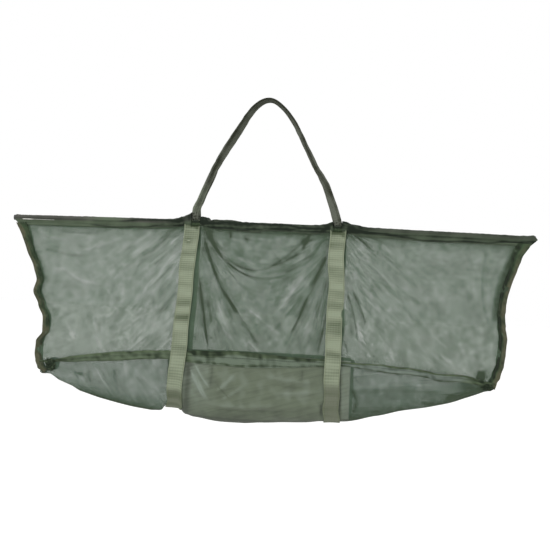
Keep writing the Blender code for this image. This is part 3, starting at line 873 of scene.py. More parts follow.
def drawn_rod():
    """Pultruded fibreglass: a smooth resin rod with faint glass streaks along it."""
    material, shader = new_material("pultruded fibreglass", Roughness=0.38, IOR=1.52)
    place = add(material, "TexCoord").outputs["Object"]
    thin = ROD_STREAK_LENGTH_MM / ROD_STREAK_WIDTH_MM
    streaks = add(material, "Mapping", {"Vector": place, "Scale": (1.0, thin, thin)})
    mottled(material, shader, streaks, ROD_STREAK_LENGTH_MM, 2.0, "#5f6650", "#7d836a")
    return material


def dipped_vinyl():
    """Soft PVC, dip moulded: dull black with a fine orange-peel skin and pale scuffs."""
    material, shader = new_material("dip-moulded vinyl", Roughness=0.5, IOR=1.53)
    place = add(material, "TexCoord").outputs["Object"]
    mottled(material, shader, place, VINYL_SCUFF_MM, 5.0, "#26272a", "#45464a")
    grain = per_metre(VINYL_GRAIN_MM)
    skin = add(material, "TexNoise", {"Vector": place, "Scale": grain, "Detail": 2.0})
    bumps = add(material, "Bump", {"Height": skin, "Strength": 0.2, "Distance": 0.0002})
    give(shader, {"Normal": bumps})
    return material


def sewing_thread(name, colour, shade):
    """Twisted polyester thread: dull, with a slight change of tone from stitch to stitch."""
    material, shader = new_material(name, Roughness=0.6)
    place = add(material, "TexCoord").outputs["Object"]
    mottled(material, shader, place, THREAD_SPOT_MM, 1.0, colour, shade)
    return material


# Fluffy threads that swallow light: they hardly shine
DULL = {"Roughness": 0.78, "Specular_IOR_Level": 0.15}
DULL_WEBBING = {"Roughness": 0.72, "Specular_IOR_Level": 0.15}

# The net's thread colour, and its painted shade deep in its folds
SIDE_NET = ("#576e58", "#33422e")
BASE_NET = ("#566b5a", "#34432f")

SIDE_MESH = {
    FRONT: knitted_mesh("knitted polyester front mesh", *SIDE_NET, 0.47, 56),
    BACK: knitted_mesh("knitted polyester back mesh", *SIDE_NET, 0.47, 11),
}
BASE_MESH = {
    FRONT: knitted_mesh("knitted polyester base mesh, front", *BASE_NET, 0.50, 51),
    BACK: knitted_mesh("knitted polyester base mesh, back", *BASE_NET, 0.50, 6),
}
END_MESH = knitted_mesh("knitted polyester end mesh", *SIDE_NET, -0.03, 78)
# Woven polyamide: smooth threads with a slight sheen, paler where a fold catches the light
NYLON = woven_cloth(
    "woven nylon", "#626d59", "#3e4638", "#8f9b90", 2.4, Roughness=0.6, Sheen_Weight=0.1
)
# The hems' polyester: dull, with painted shade in its rolls, greyer where it lies over the pole
HEM = woven_cloth("woven polyester hem", "#5e6b57", "#20281f", "#5c5c56", 2.4, **DULL)
# Binding tape: a dull brown-olive with a greener inner edge
TAPE = woven_cloth("woven binding tape", "#5d5e4a", "#262d23", "#46583f", 2.2, **DULL)
# Seam binding: dull green with a greyer face between its dark edges; the dark of its rolled upper lip
# is partly painted shade
BAND = woven_cloth("woven seam binding", "#627157", "#263023", "#7c887e", 2.2, **DULL)
# Polypropylene webbing: pale sage with clear ribs, and painted shade, dull and dark, where it turns
# under the base
STRAP = ribbed_webbing(
    "woven polypropylene webbing",
    *("#929c84", "#475339", "#9aa489", "#666b5a", 5.0, STRAP_WIDTH),
    Roughness=0.7,
)
# The handles' polyester webbing: soft and dark, with fine ribs, and painted light that makes it paler
# near the feet, most near the left one
HANDLE = ribbed_webbing(
    "woven handle webbing",
    *("#696d62", "#2b2e22", "#515446", "#78806f", 3.4, WEBBING_WIDTH),
    **DULL_WEBBING,
)
# The same webbing at the handles' feet: paler on top of the pole, and dark below it with painted
# shade
EYE = ribbed_webbing(
    "woven handle foot",
    *("#90967c", "#1d261a", "#90967c", "#55664a", 3.4, WEBBING_WIDTH),
    **DULL_WEBBING,
)
SELVEDGE = bleached_selvedge()
ROD = drawn_rod()
VINYL = dipped_vinyl()
THREAD = sewing_thread("dark polyester thread", "#2c3628", "#1d241b")
TACK_THREAD = sewing_thread("pale polyester thread", "#c4c9b4", "#a9af98")
PALE_THREAD = sewing_thread("olive polyester thread", "#7c8465", "#5e664b")


# Camera, light and background


def make_camera():
    """The photograph's view: a little to the right, a little above, and tipped clockwise."""
    azimuth, elevation, roll = math.radians(6.6), math.radians(2.0), math.radians(-2.52)
    target, distance = Vector((0.0236, 0.0, -0.404)), 2.0
    right = Vector((math.cos(azimuth), math.sin(azimuth), 0))
    ahead = Vector((-math.sin(azimuth), math.cos(azimuth), 0)) * math.cos(elevation)
    ahead.z = -math.sin(elevation)
    up = right.cross(ahead)
    camera = new_object("camera", bpy.data.cameras.new("camera"))
    wide = right * math.cos(roll) - up * math.sin(roll)
    high = right * math.sin(roll) + up * math.cos(roll)
    turn = Matrix((wide, high, -ahead)).transposed()
    camera.matrix_world = Matrix.Translation(target - ahead * distance) @ turn.to_4x4()
    camera.data.sensor_width = 36.0
    camera.data.lens = 56.8
    bpy.context.scene.camera = camera


def seen_rays(owner):
    """1 for rays that show the background: camera, glossy and transmission rays."""
    path = add(owner, "LightPath").outputs
    seen = path["Is Camera Ray"]
    for ray in ("Is Glossy Ray", "Is Transmission Ray"):
        seen = add(owner, "Math", {0: seen, 1: path[ray]}, operation="MAXIMUM")
    return seen


def make_light():
    """A white room whose backdrop is brighter than its light, and three soft lamps."""
    world = bpy.data.worlds.new("studio")
    bpy.context.scene.world = world
    world.use_nodes = True
    strength = add(world, "MapRange", {"Value": seen_rays(world), "To Min": 0.55, "To Max": 1.0})
    give(world.node_tree.nodes["Background"], {"Color": linear("#ffffff"), "Strength": strength})
    for name, place, size, power in (
        ("key", (-1.1, -1.9, 1.0), 1.6, 22),
        ("fill", (1.7, -1.7, 0.2), 1.4, 8),
        ("top", (0.2, 0.9, 1.5), 1.6, 10),
    ):
        lamp = bpy.data.lights.new(name, "AREA")
        lamp.size = size
        lamp.energy = power
        light = new_object(name, lamp)
        light.location = place
        aim = Vector((0, 0, -0.45)) - light.location
        light.rotation_euler = aim.to_track_quat("-Z", "Y").to_euler()


def make_floor():
    """A pale floor far below the sling, with a glow of its own, so that it hides in the backdrop."""
    plane = bmesh.new()
    bmesh.ops.create_grid(plane, x_segments=1, y_segments=1, size=8.0)
    bmesh.ops.translate(plane, verts=plane.verts, vec=(0, 0, FLOOR_Z))
    material, shader = new_material("pale studio floor", Roughness=0.9)
    glow = add(material, "Math", {0: seen_rays(material), 1: 0.5}, operation="MULTIPLY")
    give(shader, {"Base Color": linear("#f2f2f0"), "Emission Color": linear("#ffffff")})
    give(shader, {"Emission Strength": glow})
    new_object("floor", mesh_of("floor", plane, material))


# Side panels


def clear_of_straps(x, share):
    """0 under a strap, where the cloth is sewn flat, and 1 away from it."""
    free = 1.0
    for end in (LEFT, RIGHT):
        free = free * (1 - bump(x - strap_x(end, share), 0.021) ** 2)
    return free


def end_reach(side, across, share):
    """How far a panel's end stands past its curve; the back's ends a little more."""
    wave = 0.0
    for end in (LEFT, RIGHT):
        past = through(END_WAVE_PLACES, END_WAVES[end], share) / 1e3
        if side == BACK:
            past = past + (blend(0.0095, 0.0025, share) if end == LEFT else blend(0.003, 0.0, share))
        wave = wave + end * past * eased((end * across - 0.80) / 0.20)
    return wave


def panel_edge(side, end, share):
    """How far from the middle a panel's wavy end is."""
    return end_x(share) + end * end_reach(side, np.full(share.shape, float(end)), share)


def panel_point(side, across, share):
    """Where a place on the rumpled panel is along X, how far it stands out, and how gathered."""
    x = across * end_x(share) + end_reach(side, across, share)
    z = blend(pole_z(x), seam_z(x), share)
    look = seen_x(side, x)
    out, gather_and_shade = folds(look, z, PANEL_FOLDS, 1.0 if side == FRONT else 0.45)
    seed = 3 if side == FRONT else 23
    rough = ripples(look, z, 0.055, seed)
    fine = ripples(look, z, 0.022, seed + 1)
    free = eased(share / 0.10) * eased((1 - share) / 0.06) * clear_of_straps(x, share)
    out = out + 0.0016 * rough + 0.0006 * fine
    middle = eased((x + 0.20) / 0.04) * eased((0.20 - x) / 0.04)
    gather_and_shade = gather_and_shade * (1 + 0.35 * middle) + (0.03 + 0.02 * middle) * (rough + fine)
    billow = 0.004 * np.sin(math.pi * np.clip(share, 0, 1)) * (1 - np.abs(across) ** 4)
    gather_and_shade = gather_and_shade * (0.25 + 0.75 * free)
    return x, (out + billow) * free, gather_and_shade + 0.11 * middle + 0.05 * (x > 0.18)


def panel_creases(x, z, share):
    """A panel's fine creases: swags between the straps, slants to their left, a fan to the right."""
    hang = np.maximum(0.3, 1.08 - ((x - 0.012) / 0.150) ** 2)
    apex = bump(x - 0.005, 0.045) * eased((-0.42 - z) / 0.08)
    aside = np.abs(x - 0.010)
    strength = 0.48 + 0.37 * eased((aside - 0.05) / 0.05) - 0.60 * eased((aside - 0.115) / 0.025)
    swag = (-0.30 - z) / hang, x, strength - 0.30 * apex
    slant = (z - 0.9 * x) / 1.35, (x + 0.9 * z) / 1.35, 0.18 + 0.58 * eased((x + 0.45) / 0.22)
    aside, below = x - 0.160, -0.285 - z
    strength = 0.22 + 0.53 * eased((0.42 - x) / 0.22)
    fan = 0.10 * np.arctan2(below, aside), np.hypot(aside, below), strength
    is_left, is_right = x < strap_x(LEFT, share), x > strap_x(RIGHT, share)
    parts = [np.where(is_left, a, np.where(is_right, c, b)) for a, b, c in zip(slant, swag, fan)]
    return creasing(*parts)


def mesh_panel(side):
    """A side's net, with its folds and creases, lifted a little beside the handles' feet."""
    name = f"{SIDE_NAMES[side]}_mesh_panel"

    def lay(across, share):
        x, out, gather_and_shade = panel_point(side, across, share)
        cut = (across * PANEL_HALF_WIDTH, share * SIDE_DROP)
        points = on_side(side, x, share, out)
        gap = foot_gap(x)
        beside_foot = eased((gap - 0.009) / 0.002) * bump(gap, 0.030)
        points[:, 2] += 0.0055 * beside_foot * eased((0.05 - share) / 0.02)
        # Just below the hem the net is darker: painted shade under the hem
        below_hem = np.maximum(0.0, share * MEAN_DROP - HEM_DROP)
        gather_and_shade = gather_and_shade + 0.24 * np.exp(-below_hem / 0.010)
        if side == FRONT:
            caught = np.hypot(x - PANEL_CAUGHT[0], 0.8 * (points[:, 2] - PANEL_CAUGHT[1]))
            ragged = caught + 0.002 * ripples(x, points[:, 2], 0.012, 205)
            gather_and_shade = gather_and_shade + 0.8 * bump(ragged, 0.009)
        beside = eased((across - 0.945) / 0.02) + 0.5 * eased((-across - 0.952) / 0.02)
        gather_and_shade = gather_and_shade + 0.34 * beside * eased((0.62 - share) / 0.10)
        creased = panel_creases(seen_x(side, x), points[:, 2], share)
        return points, cut, {"gather_and_shade": gather_and_shade} | creased

    columns = spread(-1, 1, PANEL_STEPS[0])
    rows = spread(HEM_TOP_EDGE / SIDE_DROP, 1.0, PANEL_STEPS[1])
    piece = cloth(f"{name}_cloth", columns, rows, lay, SIDE_MESH[side], (0, side, 0))
    bend(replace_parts(piece, name))


# Hems


def hem_profile():
    """The hem's line round the pole, front skirt first: (out, up) and the run along it."""
    reach = math.hypot(HEM_OUT, HEM_MEETS)
    wrap = math.acos(SLEEVE_RADIUS / reach) - math.atan2(HEM_MEETS, HEM_OUT)
    arc = spread(wrap, math.pi - wrap, 16)
    skirt = [(HEM_OUT, -drop) for drop in spread(HEM_DROP, HEM_MEETS, 4)]
    over = [(SLEEVE_RADIUS * math.cos(a), SLEEVE_RADIUS * math.sin(a)) for a in arc]
    line = np.array(skirt + over + [(-out, up) for out, up in reversed(skirt)])
    return line, run_along(line)


def hem_look(side, x):
    """Where the hem's lists are read. The back's are read 20 mm aside, so that it's no copy."""
    return x if side == FRONT else 0.02 - x


def hem_edge(look):
    """How much further down than usual the hem's lower edge hangs."""
    return listed(HEM_PLACES, HEM_EDGES, look)


def bunched(gap):
    """1 beside a handle's foot, where the hem is pushed together, and 0 away from it."""
    return bump(gap - 0.010, 0.020)


def hem_shade(look, gap, strap_gap, up, slack, crumple):
    """How dark the hem's cloth is at a place, and how much of its greyer top shows. Its rolls, its
    bunches beside the handles' feet and the spots by the feet are painted shade.
    """
    foot, over = bunched(gap), eased((up + 0.004) / 0.003)
    pale = bump(look - HEM_PALE_PATCH, 0.045)
    far_left = eased((-0.40 - look) / 0.02)
    inner = eased((0.28 - np.abs(look)) / 0.08)
    right = eased((look - 0.20) / 0.08)
    # The rolls are painted shade: no roll is modelled
    rolled = sum(bump(up + listed(HEM_PLACES, drops, look), 0.0021) for drops in HEM_ROLLS)
    gather_and_shade = over * (0.22 - 0.60 * pale) + 0.62 * rolled * (1 - 0.55 * far_left)
    gather_and_shade = gather_and_shade + 0.10 + 0.10 * slack + 0.10 * crumple * inner
    # Two painted shadow spots in the gaps beside the handles' feet
    knot = bump(look - HEM_SHADOW_SPOTS[0], 0.005) + bump(look - HEM_SHADOW_SPOTS[1], 0.006)
    gather_and_shade = gather_and_shade + 0.6 * knot * eased((up + 0.002) / 0.004)
    gather_and_shade = gather_and_shade + (0.12 + 0.30 * crumple) * foot + 0.34 * inner + 0.13 * right - 0.22 * far_left
    on_strap = eased((0.020 - strap_gap) / 0.004) * eased((0.007 - up) / 0.003)
    gather_and_shade = blend(gather_and_shade, 0.30 + 0.15 * crumple, on_strap)
    tint = over * (1 - pale) * np.where(look < 0, 1.0, 0.5) * (1 - 0.6 * inner)
    tint = (tint + 0.8 * over * bump(gap, 0.024) * (look < 0)) * (1 - on_strap)
    return gather_and_shade, tint


def hem_lay(side, part, x, along):
    """Lays the hem round its pole: slack, crumpled at the handles' feet and drawn over the caps."""
    line, run = hem_profile()
    out = np.interp(along, run, line[:, 0])
    up = np.interp(along, run, line[:, 1])
    look, gap = hem_look(side, x), foot_gap(x)
    skirt = eased(-(up + HEM_MEETS) / 0.004)
    top, foot = 1 - skirt, bunched(gap)
    slack = ripples(look, along, 0.045, 41 + side)
    crumple = ripples(look, along, 0.013, 47 + side)
    rough = 0.0005 * slack + (0.0004 + 0.0013 * foot) * crumple
    rise = listed(*HEM_HUMPS[part], x) * eased((up + HEM_MEETS) / 0.010)
    up = up + top * (rise + 0.6 * np.abs(rough))
    up = up - skirt * hem_edge(look)
    up = np.where(up < 0, up * (1 - 0.62 * bump(gap, 0.040)), up)
    out = out + np.sign(out) * (np.abs(rough) + 0.0016 * foot) * top
    out = out + np.sign(out) * skirt * (0.0003 + 0.0003 * slack)
    if part != "middle":
        outward = np.clip((np.abs(x) - 0.48) / (HEM_TIP - 0.48), 0, 1) ** 2
        over_cap = eased((np.abs(x) - 0.575) / 0.010) * top
        out, up = out * (1 + 0.2 * over_cap), up * (1 + 0.2 * over_cap)
        reach = np.interp(-up, HEM_END_DROPS, HEM_END_REACHES[part])
        x = x + np.sign(x) * outward * reach
    share = side_share(x, np.maximum(0.0, -up))
    y = blend(POLE_Y, seam_y(x), share) + out
    points = np.column_stack([x, side * y, pole_z(x) + up])
    strap_gap = np.minimum(np.abs(x + LEFT_STRAP_TOP_X), np.abs(x - RIGHT_STRAP_TOP_X))
    gather_and_shade, tint = hem_shade(look, gap, strap_gap, up, slack, crumple)
    return points, (x, along), {"gather_and_shade": gather_and_shade, "tint": tint} | creasing(3 * along, x, 0.6)


def hem(side, part, first, last):
    """One stretch of the hem round a pole, from one handle's foot to the next or to the end."""
    name = f"{SIDE_NAMES[side]}_{part}_sleeve"
    _, run = hem_profile()
    width, length = run[-1], abs(last - first)
    columns = spread(first, last, int(length / HEM_STEP))
    rows = np.interp(spread(0, len(run) - 1, HEM_ROUND_STEPS), np.arange(len(run)), run)
    lay = partial(hem_lay, side, part)
    piece = cloth(f"{name}_cloth", columns, rows, lay, HEM, (0, 0, 1), SLEEVE_CLOTH)
    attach(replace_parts(piece, name), SIDE_BODIES[side])


def hem_selvedge():
    """The pale selvedge that shows in a fold of the front hem, near its left end."""

    def lay(x, across):
        width = 0.0010 * eased((x - LEFT_SELVEDGE[0]) / 0.006)
        width = width * (0.30 + 0.70 * eased((-0.548 - x) / 0.012))
        z = pole_z(x) - 0.0034 - 0.0006 * eased((x + 0.56) / 0.05) + across * width
        y = np.full(x.shape, -(POLE_Y + 0.0078))
        return np.column_stack([x, y, z]), (x, across * 0.001), {}

    name, columns = "front_left_sleeve_selvedge", spread(*LEFT_SELVEDGE, 40)
    facing, thickness = (0, -1, 0), SELVEDGE_THICKNESS
    piece = cloth(name, columns, spread(-1, 1, 2), lay, SELVEDGE, facing, thickness)
    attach(piece, SIDE_BODIES[FRONT])
    return piece


def hem_stitching(side):
    """Two rows along each hem: one under the pole and one at the lower edge."""
    lines = []
    for first, last in ((-0.584, -0.200), (-0.126, 0.126), (0.200, 0.584)):
        x = spread(first, last, 60)
        for drop in (HEM_MEETS + 0.0008, HEM_DROP - 0.0020 + hem_edge(hem_look(side, x))):
            share = side_share(x, drop)
            lines.append(on_side(side, x, share, HEM_STITCH_OUT))
    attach(stitches(f"{SIDE_NAMES[side]}_hem_stitching", lines, THREAD), SIDE_BODIES[side])


# Straps


def keel_lift(x, turn):
    """How far a place on the base hangs above the smooth trough: all of it at the keel."""
    return listed(KEEL_LIFT_PLACES, KEEL_LIFTS, x) * np.cos(turn) ** 2


def strap_point(side, end, across, share):
    """A place on a strap: share 0 at the pole, 1 at the seam and 2 at the keel."""
    own, down = 2 * side + end, share * SIDE_DROP
    lean = 0.0015 * ripples(down, 0 * share, 0.12, 60 + own)
    width = 1 + 0.03 * ripples(down, 0 * share + 1, 0.07, 66 + own)
    shift = 0.003 * eased(share / 0.6) - 0.003 if side == BACK and end == LEFT else 0.0
    x = strap_x(end, share) + lean + shift + across * STRAP_WIDTH / 2 * width
    wave = ripples(down, 0 * share, 0.05, 71 + own)
    cup = 0.0007 * across**2
    loose = 0.0009 * (1 + wave) * eased(share / 0.15) * eased(np.abs(1 - share) / 0.08)
    low = eased((share - 1.12) / 0.2)
    over_band = 0.0026 * bump(share - 1.03, 0.10)
    out = blend(STRAP_OUT, LOW_STRAP_OUT + 0.0003, low) + loose * (1 - 0.8 * low) + cup + over_band
    upper = on_side(side, x, np.minimum(share, 1.0), out)
    turn = side * math.radians(90) * (2 - np.maximum(share, 1.0))
    lower = on_trough(x, turn, out)
    lower[:, 2] += keel_lift(x, turn)
    return np.where((share < 1)[:, None], upper, lower)


def strap_shade(side, end, across, share, down):
    """How dark a strap is at a place, and how dull: the part that turns under the base is painted in
    shade.
    """
    # Where the strap turns under the base it is painted duller and darker: painted shade
    shade_starts = 1.37 if end == LEFT else 1.20
    dull = eased((share - shade_starts) / 0.12) * (1 if side == FRONT else 0.7)
    bands = ripples(down, 0 * down, 0.028, 75 + 2 * side + end)
    # The strap's top, under the hem, is darkened: painted shadow of the hem
    covered = (0.054 if end == LEFT else 0.064) + 0.014 * eased((across - 0.1) / 0.7)
    hem_shadow = eased((covered - share) / 0.028)
    edges = eased((np.abs(across) - 0.7) / 0.3)
    kinked = 0.15 + 0.12 * dull + 0.08 * eased((share - 0.5) / 0.2)
    shade = kinked * bands + 0.95 * hem_shadow + 0.35 * edges * dull
    # The back left strap is darkened: painted shadow of the front strap
    if side == BACK and end == LEFT:
        shade = shade + 0.25
    if side == FRONT and end == LEFT:
        # A soft dark spot round the bar tack: painted shade of a dimple that is not modelled
        aside = (across + TACK_ACROSS) * STRAP_WIDTH / 2
        tack_shadow_reach = np.hypot(aside, (share - TACK_SHARE - 0.008) * SIDE_DROP)
        shade = shade + 0.42 * bump(tack_shadow_reach, 0.009)
    return shade, 0.85 * dull


def strap_sewing(side, end):
    """A row of stitches down both edges of a strap, and the front left strap's bar tack."""
    name = f"{SIDE_NAMES[side]}_{END_NAMES[end]}_strap"
    share = np.concatenate([spread(0.06, 1.0, 60), spread(1.0, 2.0, 40)[1:]])
    edges = [
        strap_point(side, end, np.full(share.shape, edge), share) + [0, side * STRAP_STITCH_OUT, 0]
        for edge in (-0.86, 0.86)
    ]
    bend(stitches(f"{name}_stitching", edges, PALE_THREAD))
    if side == FRONT and end == LEFT:
        across = spread(-0.24, 0.24, 4) - TACK_ACROSS
        tack = [
            strap_point(side, end, across, np.full(across.shape, share)) + [0, side * TACK_OUT, 0]
            for share in (TACK_SHARE - 0.001, TACK_SHARE + 0.001)
        ]
        bend(stitches(f"{name}_bar_tack", tack, TACK_THREAD, pitch=0.0012, length=0.0010))


def strap(side, end):
    """A strap down a side and under the base to the keel; its top is set back under the foot."""
    name = f"{SIDE_NAMES[side]}_{END_NAMES[end]}_strap"

    def lay(across, share):
        points = strap_point(side, end, across, share)
        beside_foot = eased((foot_gap(points[:, 0]) - 0.0122) / 0.002)
        points[:, 2] += 0.004 * beside_foot * eased((0.05 - share) / 0.02)
        points[:, 1] -= side * 0.0029 * (1 - beside_foot) * eased((0.056 - share) / 0.024)
        down = np.where(share < 1, share * MEAN_DROP, MEAN_DROP + (share - 1) * BASE_ARC)
        shade, dull = strap_shade(side, end, across, share, down)
        return points, (down, across * STRAP_WIDTH / 2), {"gather_and_shade": shade, "tint": dull}

    beside = spread(STRAP_TOP_SHARE, 1.0, STRAP_SIDE_STEPS)
    below = spread(1.0, 2.0, STRAP_BASE_STEPS)
    rows = np.concatenate([beside, below[1:]])
    columns, facing = spread(-1, 1, STRAP_ACROSS_STEPS), (0, side, 0)
    piece = cloth(f"{name}_webbing", columns, rows, lay, STRAP, facing, STRAP_THICKNESS)
    replaced = [name] if side == BACK else [name, f"{END_NAMES[end]}_base_strap"]
    bend(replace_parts(piece, *replaced))
    strap_sewing(side, end)


# End bindings and gussets


def binding_width(end, share):
    """How much wider than its leaf a binding shows: it isn't folded quite so far near the top."""
    return 1 + (0.50 if end == LEFT else 0.85) * eased((0.24 - share) / 0.22)


def binding_shade(end, along, face, share, rough, fine):
    """How dark a binding is at a place, and how much of its green edge shows."""
    high, low = eased((0.30 - share) / 0.15), eased((share - 0.72) / 0.12)
    kept = 1 - 0.9 * low if end == LEFT else 1.0
    green = eased((face - 0.30) / 0.25) * kept + (0.5 if end == RIGHT else 0.1) * high
    gather_and_shade = 0.08 + 0.16 * rough + 0.18 * fine + 0.30 * bump(along - 0.003, 0.003)
    gather_and_shade = gather_and_shade + 0.30 * bump(face - 0.55, 0.18) * (1 - high) * (1 - low)
    if end == RIGHT:
        gather_and_shade = gather_and_shade + 0.40 * eased((face - 0.45) / 0.2)
    gather_and_shade = gather_and_shade + 0.5 * eased((share - BINDING_END[end] + 0.02) / 0.02)
    return gather_and_shade, np.clip(green + 0.35 * rough, 0, 1)


def binding_lay(side, end, along, share):
    """Lays a binding: along runs from its outer leaf's edge, round the panel's wavy end, inside."""
    leaf, radius = BINDING_LEAF, BINDING_TURN_RADIUS
    around = np.clip((along - leaf) / BINDING_TURN, 0, 1) * math.pi
    inside = np.maximum(0, along - leaf - BINDING_TURN)
    inward = np.where(along < leaf, leaf - along, inside)
    face = inward / leaf
    inward = inward * binding_width(end, share) - radius * np.sin(around) - 0.0006
    out = (BINDING_OUT - BINDING_IN) / 2 + radius * np.cos(around)
    z = share * SIDE_DROP
    rough = ripples(along * 2, z, 0.035, 80 + 2 * side + end)
    fine = ripples(along * 3, z, 0.012, 90 + 2 * side + end)
    outer = np.where(along < leaf + BINDING_TURN / 2, 1.0, -0.4)
    out = out + outer * (0.0011 * (rough + 0.8) + 0.0008 * fine)
    out = out + outer * 0.0016 * eased((0.075 - share) / 0.02)
    rounded = 0.010 * eased((share - BINDING_END[end] + 0.030) / 0.03) * face**2
    inward = inward + 0.0006 * rough + 0.0003 * fine - rounded
    x = end * (panel_edge(side, end, share) - inward)
    gather_and_shade, green = binding_shade(end, along, face, share, rough, fine)
    marks = {"gather_and_shade": gather_and_shade, "tint": green} | creasing(2 * along, z, 0.5)
    return on_side(side, x, share, out), (z, along), marks


def binding(side, end):
    """Tape folded over a panel's end, rumpled, and sewn on past the seam to the bottom corner."""
    name = f"{SIDE_NAMES[side]}_{END_NAMES[end]}_binding"
    inner = BINDING_LEAF + BINDING_TURN
    leaves = (
        spread(0, BINDING_LEAF, BINDING_LEAF_STEPS),
        spread(BINDING_LEAF, inner, BINDING_TURN_STEPS)[1:],
        spread(inner, BINDING_FLAT_WIDTH, BINDING_INNER_STEPS)[1:],
    )
    rows = spread(BINDING_TOP_SHARE, BINDING_END[end], BINDING_DOWN_STEPS)
    lay, facing = partial(binding_lay, side, end), (end, side, 0)
    profile = np.concatenate(leaves)
    piece = cloth(f"{name}_tape", profile, rows, lay, TAPE, facing, TAPE_THICKNESS)
    bend(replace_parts(piece, name))
    share = spread(BINDING_TOP_SHARE + 0.05, 0.99, 90)
    inward = BINDING_LEAF * binding_width(end, share) - 0.003
    sewn = end * (panel_edge(side, end, share) - inward)
    line = on_side(side, sewn, share, BINDING_STITCH_OUT)
    bend(stitches(f"{name}_stitching", [line], THREAD))


def gusset(side, end):
    """Half of an end gusset, folded into the pouch and gathered towards the bottom."""
    name = f"{SIDE_NAMES[side]}_{END_NAMES[end]}_gusset"

    def lay(part, share):
        width = np.maximum(GUSSET_FOLD * (1 - share), GUSSET_LEAST)
        inward = 0.001 + part * width
        x = end * (panel_edge(side, end, share) - inward)
        flat = blend(POLE_Y, seam_y(x), share) - GUSSET_IN
        folded = np.clip((width - GUSSET_LEAST) / 0.03, 0, 1)
        turned = eased((inward - BINDING_WIDTH) / np.maximum(width - BINDING_WIDTH, 0.004))
        y = blend(flat, 0.0011, turned * folded)
        rough = ripples(inward, share * SIDE_DROP, 0.03, 100 + 2 * side + end)
        y = np.maximum(y - 0.0012 * np.abs(rough) * np.sin(math.pi * part), 0.0008)
        points = np.column_stack([x, side * y, blend(pole_z(x), seam_z(x), share)])
        gather_and_shade = 0.04 * rough + 0.06 * bump(part - 1, 0.12)
        return points, (inward, share * SIDE_DROP), {"gather_and_shade": gather_and_shade}

    columns = spread(0, 1, GUSSET_STEPS[0])
    rows = spread(GUSSET_TOP / SIDE_DROP, 1, GUSSET_STEPS[1])
    piece = cloth(f"{name}_cloth", columns, rows, lay, END_MESH, (0, side, 0))
    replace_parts(piece, name)
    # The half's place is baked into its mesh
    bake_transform(piece)


# Base


def trough_turn(x, drop):
    """How far round the base a drop below the seam is: 90 degrees at the seam, 0 at the keel."""
    return np.arccos(np.clip(drop / keel_depth(x), 0, 1))


def trough_point(side, x, turn, out=0.0):
    """A place on half of the rumpled base, and how gathered its cloth is there."""
    z = seam_z(x) - keel_depth(x) * np.cos(turn)
    look = seen_x(side, x)
    push, gather_and_shade = folds(look, z, BASE_FOLDS, 1.0 if side == FRONT else 0.35)
    seed = 113 if side == FRONT else 133
    rough = ripples(look, z, 0.06, seed)
    fine = ripples(look, z, 0.024, seed + 1)
    ends = eased((CORNER_X - np.abs(x)) / 0.05)
    free = eased(turn / math.radians(25)) * eased((math.radians(88) - turn) / math.radians(12))
    push = (push + 0.0016 * rough + 0.0006 * fine) * free * ends
    points = on_trough(x, side * turn, push + out)
    points[:, 2] += keel_lift(x, turn)
    gather_and_shade = gather_and_shade + 0.03 * rough + 0.03 * fine
    return points, gather_and_shade


def base_shade(x, z, gather_and_shade):
    """How dark the base is: more towards the keel, and most where its cloth lies double."""
    depth = (seam_z(x) - z) / keel_depth(x)
    gather_and_shade = gather_and_shade + 0.20 * eased((depth - 0.72) / 0.28) + 0.26 * eased((depth - 0.955) / 0.035)
    below = DOUBLE_LINE[1] + DOUBLE_SLOPE * (x - DOUBLE_LINE[0]) - z
    doubled = eased(below / 0.003) + bump(below, 0.0022)
    mesh_left, mesh_right = x < -NYLON_HALF_LENGTH - 0.0005, x > NYLON_HALF_LENGTH + 0.0005
    gather_and_shade = gather_and_shade + 0.06 * mesh_left + mesh_right * (0.10 + 0.10 * doubled)
    return gather_and_shade + 0.22 * eased((x - 0.43) / 0.05)


def nylon_shade(x, arc, share, gather_and_shade):
    """The nylon's folds, darkened with painted shade or paler with its tint as painted highlights,
    more of that tint towards its left end and right edge, and a dark line beside the left strap.
    """
    gather_and_shade = 2.2 * gather_and_shade
    tint = np.clip(-1.3 * gather_and_shade, 0, 0.5) + 0.35 * eased((-0.09 - x) / 0.05) * (1 - share)
    tint = tint + 0.30 * eased((x + 0.01 * ripples(x, arc, 0.03, 231) - 0.185) / 0.012)
    return gather_and_shade + 0.85 * bump(x - NYLON_DARK_LINE + 0.016 * share, 0.0085), tint


def base_half(side, node, first, last, columns):
    """Half of one piece of the base, from its seam to the keel."""
    name = f"{node}_{SIDE_NAMES[side]}"
    nylon = node == "base_centre_panel"

    def lay(x, share):
        points, gather_and_shade = trough_point(side, x, math.radians(90) * (1 - share))
        z, arc = points[:, 2], share * base_arc(x)
        gather_and_shade, tint = base_shade(x, z, gather_and_shade), 0.0
        if nylon:
            gather_and_shade, tint = nylon_shade(x, arc, share, gather_and_shade)
            creased = creasing(z - 0.30 * x, x, 1.1)
        elif node == "base_left_end":
            creased = creasing((z + 1.5 * x) / 1.8, (x - 1.5 * z) / 1.8, 0.40)
        else:
            creased = creasing(z - DOUBLE_SLOPE * x, (x - 1.5 * z) / 1.8, 0.40)
        return points, (x, arc), {"gather_and_shade": gather_and_shade, "tint": tint} | creased

    places, rows, facing = spread(first, last, columns), spread(0, 1, BASE_ROWS), (0, side, -0.3)
    material, thickness = (NYLON, NYLON_THICKNESS) if nylon else (BASE_MESH[side], 0.0)
    piece = cloth(f"{name}_cloth", places, rows, lay, material, facing, thickness)
    if side == FRONT:
        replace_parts(piece, node)
    bend(piece)


def band_edges(side, x):
    """The seam band's upper edge above the seam, and its lower edge below it."""
    tops = listed(BAND_PLACES, BAND_TOPS, x) - (0.008 if side == BACK else 0.0)
    return tops, listed(BAND_PLACES, BAND_DROPS, x)


